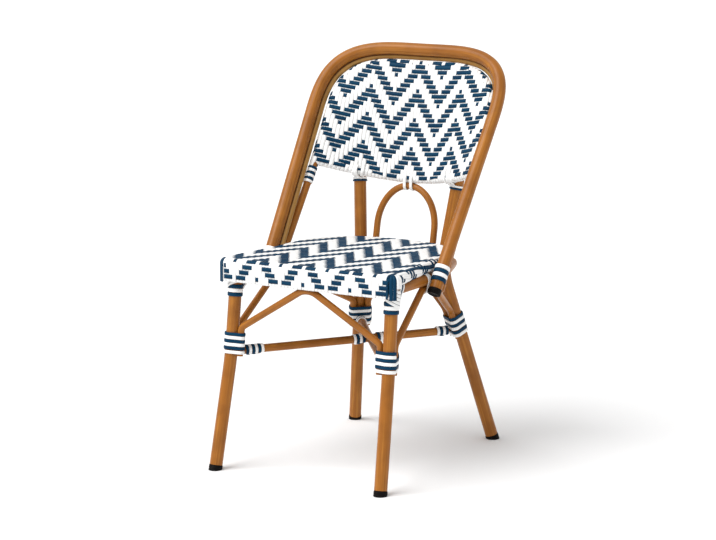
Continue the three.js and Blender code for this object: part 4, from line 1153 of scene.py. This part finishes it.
def seatWefts(rows, width):
    return layWefts(rows, seatColumns, seatWeave["halfWidth"], seatInside, seatWeave[width], seatLift)


warps = seatWarps([column for column in seatColumns if column[0] != seatWeave["navyColumn"]])
navyWarps = seatWarps([column for column in seatColumns if column[0] == seatWeave["navyColumn"]])
wefts = seatWefts([row for row in seatRows if row[0] <= seatWeave["apronRows"]], "topWeft")
apronWefts = seatWefts([row for row in seatRows if row[0] > seatWeave["apronRows"]], "apronWeft")
warpStep, weftStep = seatWeave["topPitch"] / 4, seatWeave["columnPitch"] / 3
slimFrom = seatWrap - seatWeave["slimBefore"]
slim = {"from": slimFrom, "fade": 8, "by": seatWeave["slimBy"]}  # narrow where they turn over the ring
addSheet("seatWarps", "white", warps, True, warpStep, seatWeave["warpCrown"], bendToSeat, "seat_weave")
addSheet("seatWefts", "navy", wefts, False, weftStep, seatWeave["weftCrown"], bendToSeat, slim=slim)
addSheet("apronWefts", "navy", apronWefts, False, weftStep, seatWeave["weftCrown"], bendToSeat)
addSheet("seatNavyWarp", "navy", navyWarps, True, warpStep, seatWeave["navyCrown"], bendToSeat)

# Upright strands round the seat's front corners, u round the corner and v down the section
cornerStrand = {
    "navy": (8, 16), "white": (24, 32), "width": 7.8, "tuck": 9, "whiteDrop": 15,
    "knots": ((-9, -1.5), (-2, -0.4), (6, 1.2), (60, 1.2)),  # height over the roll at places v
}


def bendToCorner(flip):
    def bend(u, v, lift):
        rounding = seat["corner"]
        angle = np.clip(u / rounding, 0, math.pi / 2)
        straightPart = np.maximum(0, u - rounding * math.pi / 2)
        out = np.stack((np.sin(angle), -np.cos(angle)), axis=1)
        reach = seatWeave["roll"] + lift
        turnBy = np.clip(v / seatWeave["roll"], 0, math.pi / 2)
        offset = rounding - seat["roll"] + np.minimum(0, v) + reach * np.sin(turnBy)
        plan = np.array((seat["frontHalf"] - rounding, seat["frontY"] + rounding)) + out * offset[:, None]
        z = ringZ + reach * np.cos(turnBy) - np.maximum(0, v - quarter)
        return np.stack((plan[:, 0], plan[:, 1] + straightPart, z), axis=1) * flip
    return bend


for word, flip in sides:
    for look, drop in (("navy", apronDrop), ("white", quarter + cornerStrand["whiteDrop"])):
        strips = [(u, cornerStrand["width"], -cornerStrand["tuck"], drop, cornerStrand["knots"])
                  for u in cornerStrand[look]]
        addSheet(f"cornerStrands_{word}_{look}", look, strips, True, 3, 0.3, bendToCorner(flip))

# Ring and bars under the weave
under = {"ring": 10.7, "bar": 8, "barHalf": 75, "barShare": 0.97}
ringPath = np.column_stack((seatPlan, np.full(len(seatPlan), ringZ)))
barRear = seat["waistY"] + (seat["rearY"] - seat["waistY"]) * under["barShare"] - seat["roll"]
parts = [tubeMesh("seatRing", ringPath, under["ring"], smooth=3, closed=True)]
for x in (-under["barHalf"], under["barHalf"]):
    ends = np.array([(x, y, ringZ) for y in (frontLineY, barRear)])
    parts.append(tubeMesh("seatBar", ends, under["bar"], smooth=3))
addPiece("seatRing", joinMeshes("seatRing", parts), "cane", "seat_frame")
print("seat woven", len(warps), len(wefts))

# Camera at the photograph's viewing angle
view = {"spot": (2727.497, -4589.009, 1402.006), "turn": 30.8237, "tilt": 10.5016, "focal": 2500, "wide": 716}
lens = bpy.data.cameras.new("chairView")
lens.sensor_width = 36
lens.lens = lens.sensor_width * view["focal"] / view["wide"]
lens.clip_end = 200
camera = showObject("chairView", lens)
camera.location = place(*view["spot"])
camera.rotation_euler = (math.radians(90 - view["tilt"]), 0, math.radians(view["turn"]))
bpy.context.scene.camera = camera

# Floor and light
studio = {
    "floor": {"Base Color": (0.9, 0.9, 0.9, 1), "Roughness": 0.9, "Specular IOR Level": 0.1},
    "floorHalf": 60, "white": (1, 1, 1, 1), "sky": 0.7, "backdrop": 1.2,  # the floor's half width in metres
    "sun": 2.6, "softness": 45, "sunTilt": 38, "sunTurn": -32,
}
floorMaterial = bpy.data.materials.new("paleFloor")
floorMaterial.use_nodes = True
floorTree = floorMaterial.node_tree
fillInputs(floorTree, floorTree.nodes["Principled BSDF"], studio["floor"])
bm = bmesh.new()
bmesh.ops.create_grid(bm, x_segments=1, y_segments=1, size=studio["floorHalf"])
floor = showObject("paleFloor", meshOf("paleFloor", bm))
floor.data.materials.append(floorMaterial)

world = bpy.data.worlds.new("studioSky")
bpy.context.scene.world = world
world.use_nodes = True
skyTree = world.node_tree
sky = skyTree.nodes["Background"]
backdrop = addNode(skyTree, "ShaderNodeBackground")
for node, strength in ((sky, studio["sky"]), (backdrop, studio["backdrop"])):
    fillInputs(skyTree, node, {"Color": studio["white"], "Strength": strength})
seen = addNode(skyTree, "ShaderNodeLightPath").outputs["Is Camera Ray"]
skyMix = addNode(skyTree, "ShaderNodeMixShader", {0: seen, 1: sky.outputs[0], 2: backdrop.outputs[0]})
fillInputs(skyTree, skyTree.nodes["World Output"], {"Surface": skyMix.outputs[0]})
sun = bpy.data.lights.new("softKey", "SUN")
sun.energy = studio["sun"]
sun.angle = math.radians(studio["softness"])
sunHolder = showObject("softKey", sun)
sunHolder.rotation_euler = (math.radians(studio["sunTilt"]), 0, math.radians(studio["sunTurn"]))

bpy.context.scene.view_settings.view_transform = "Standard"

bpy.context.view_layer.update()
print("chair dressed")
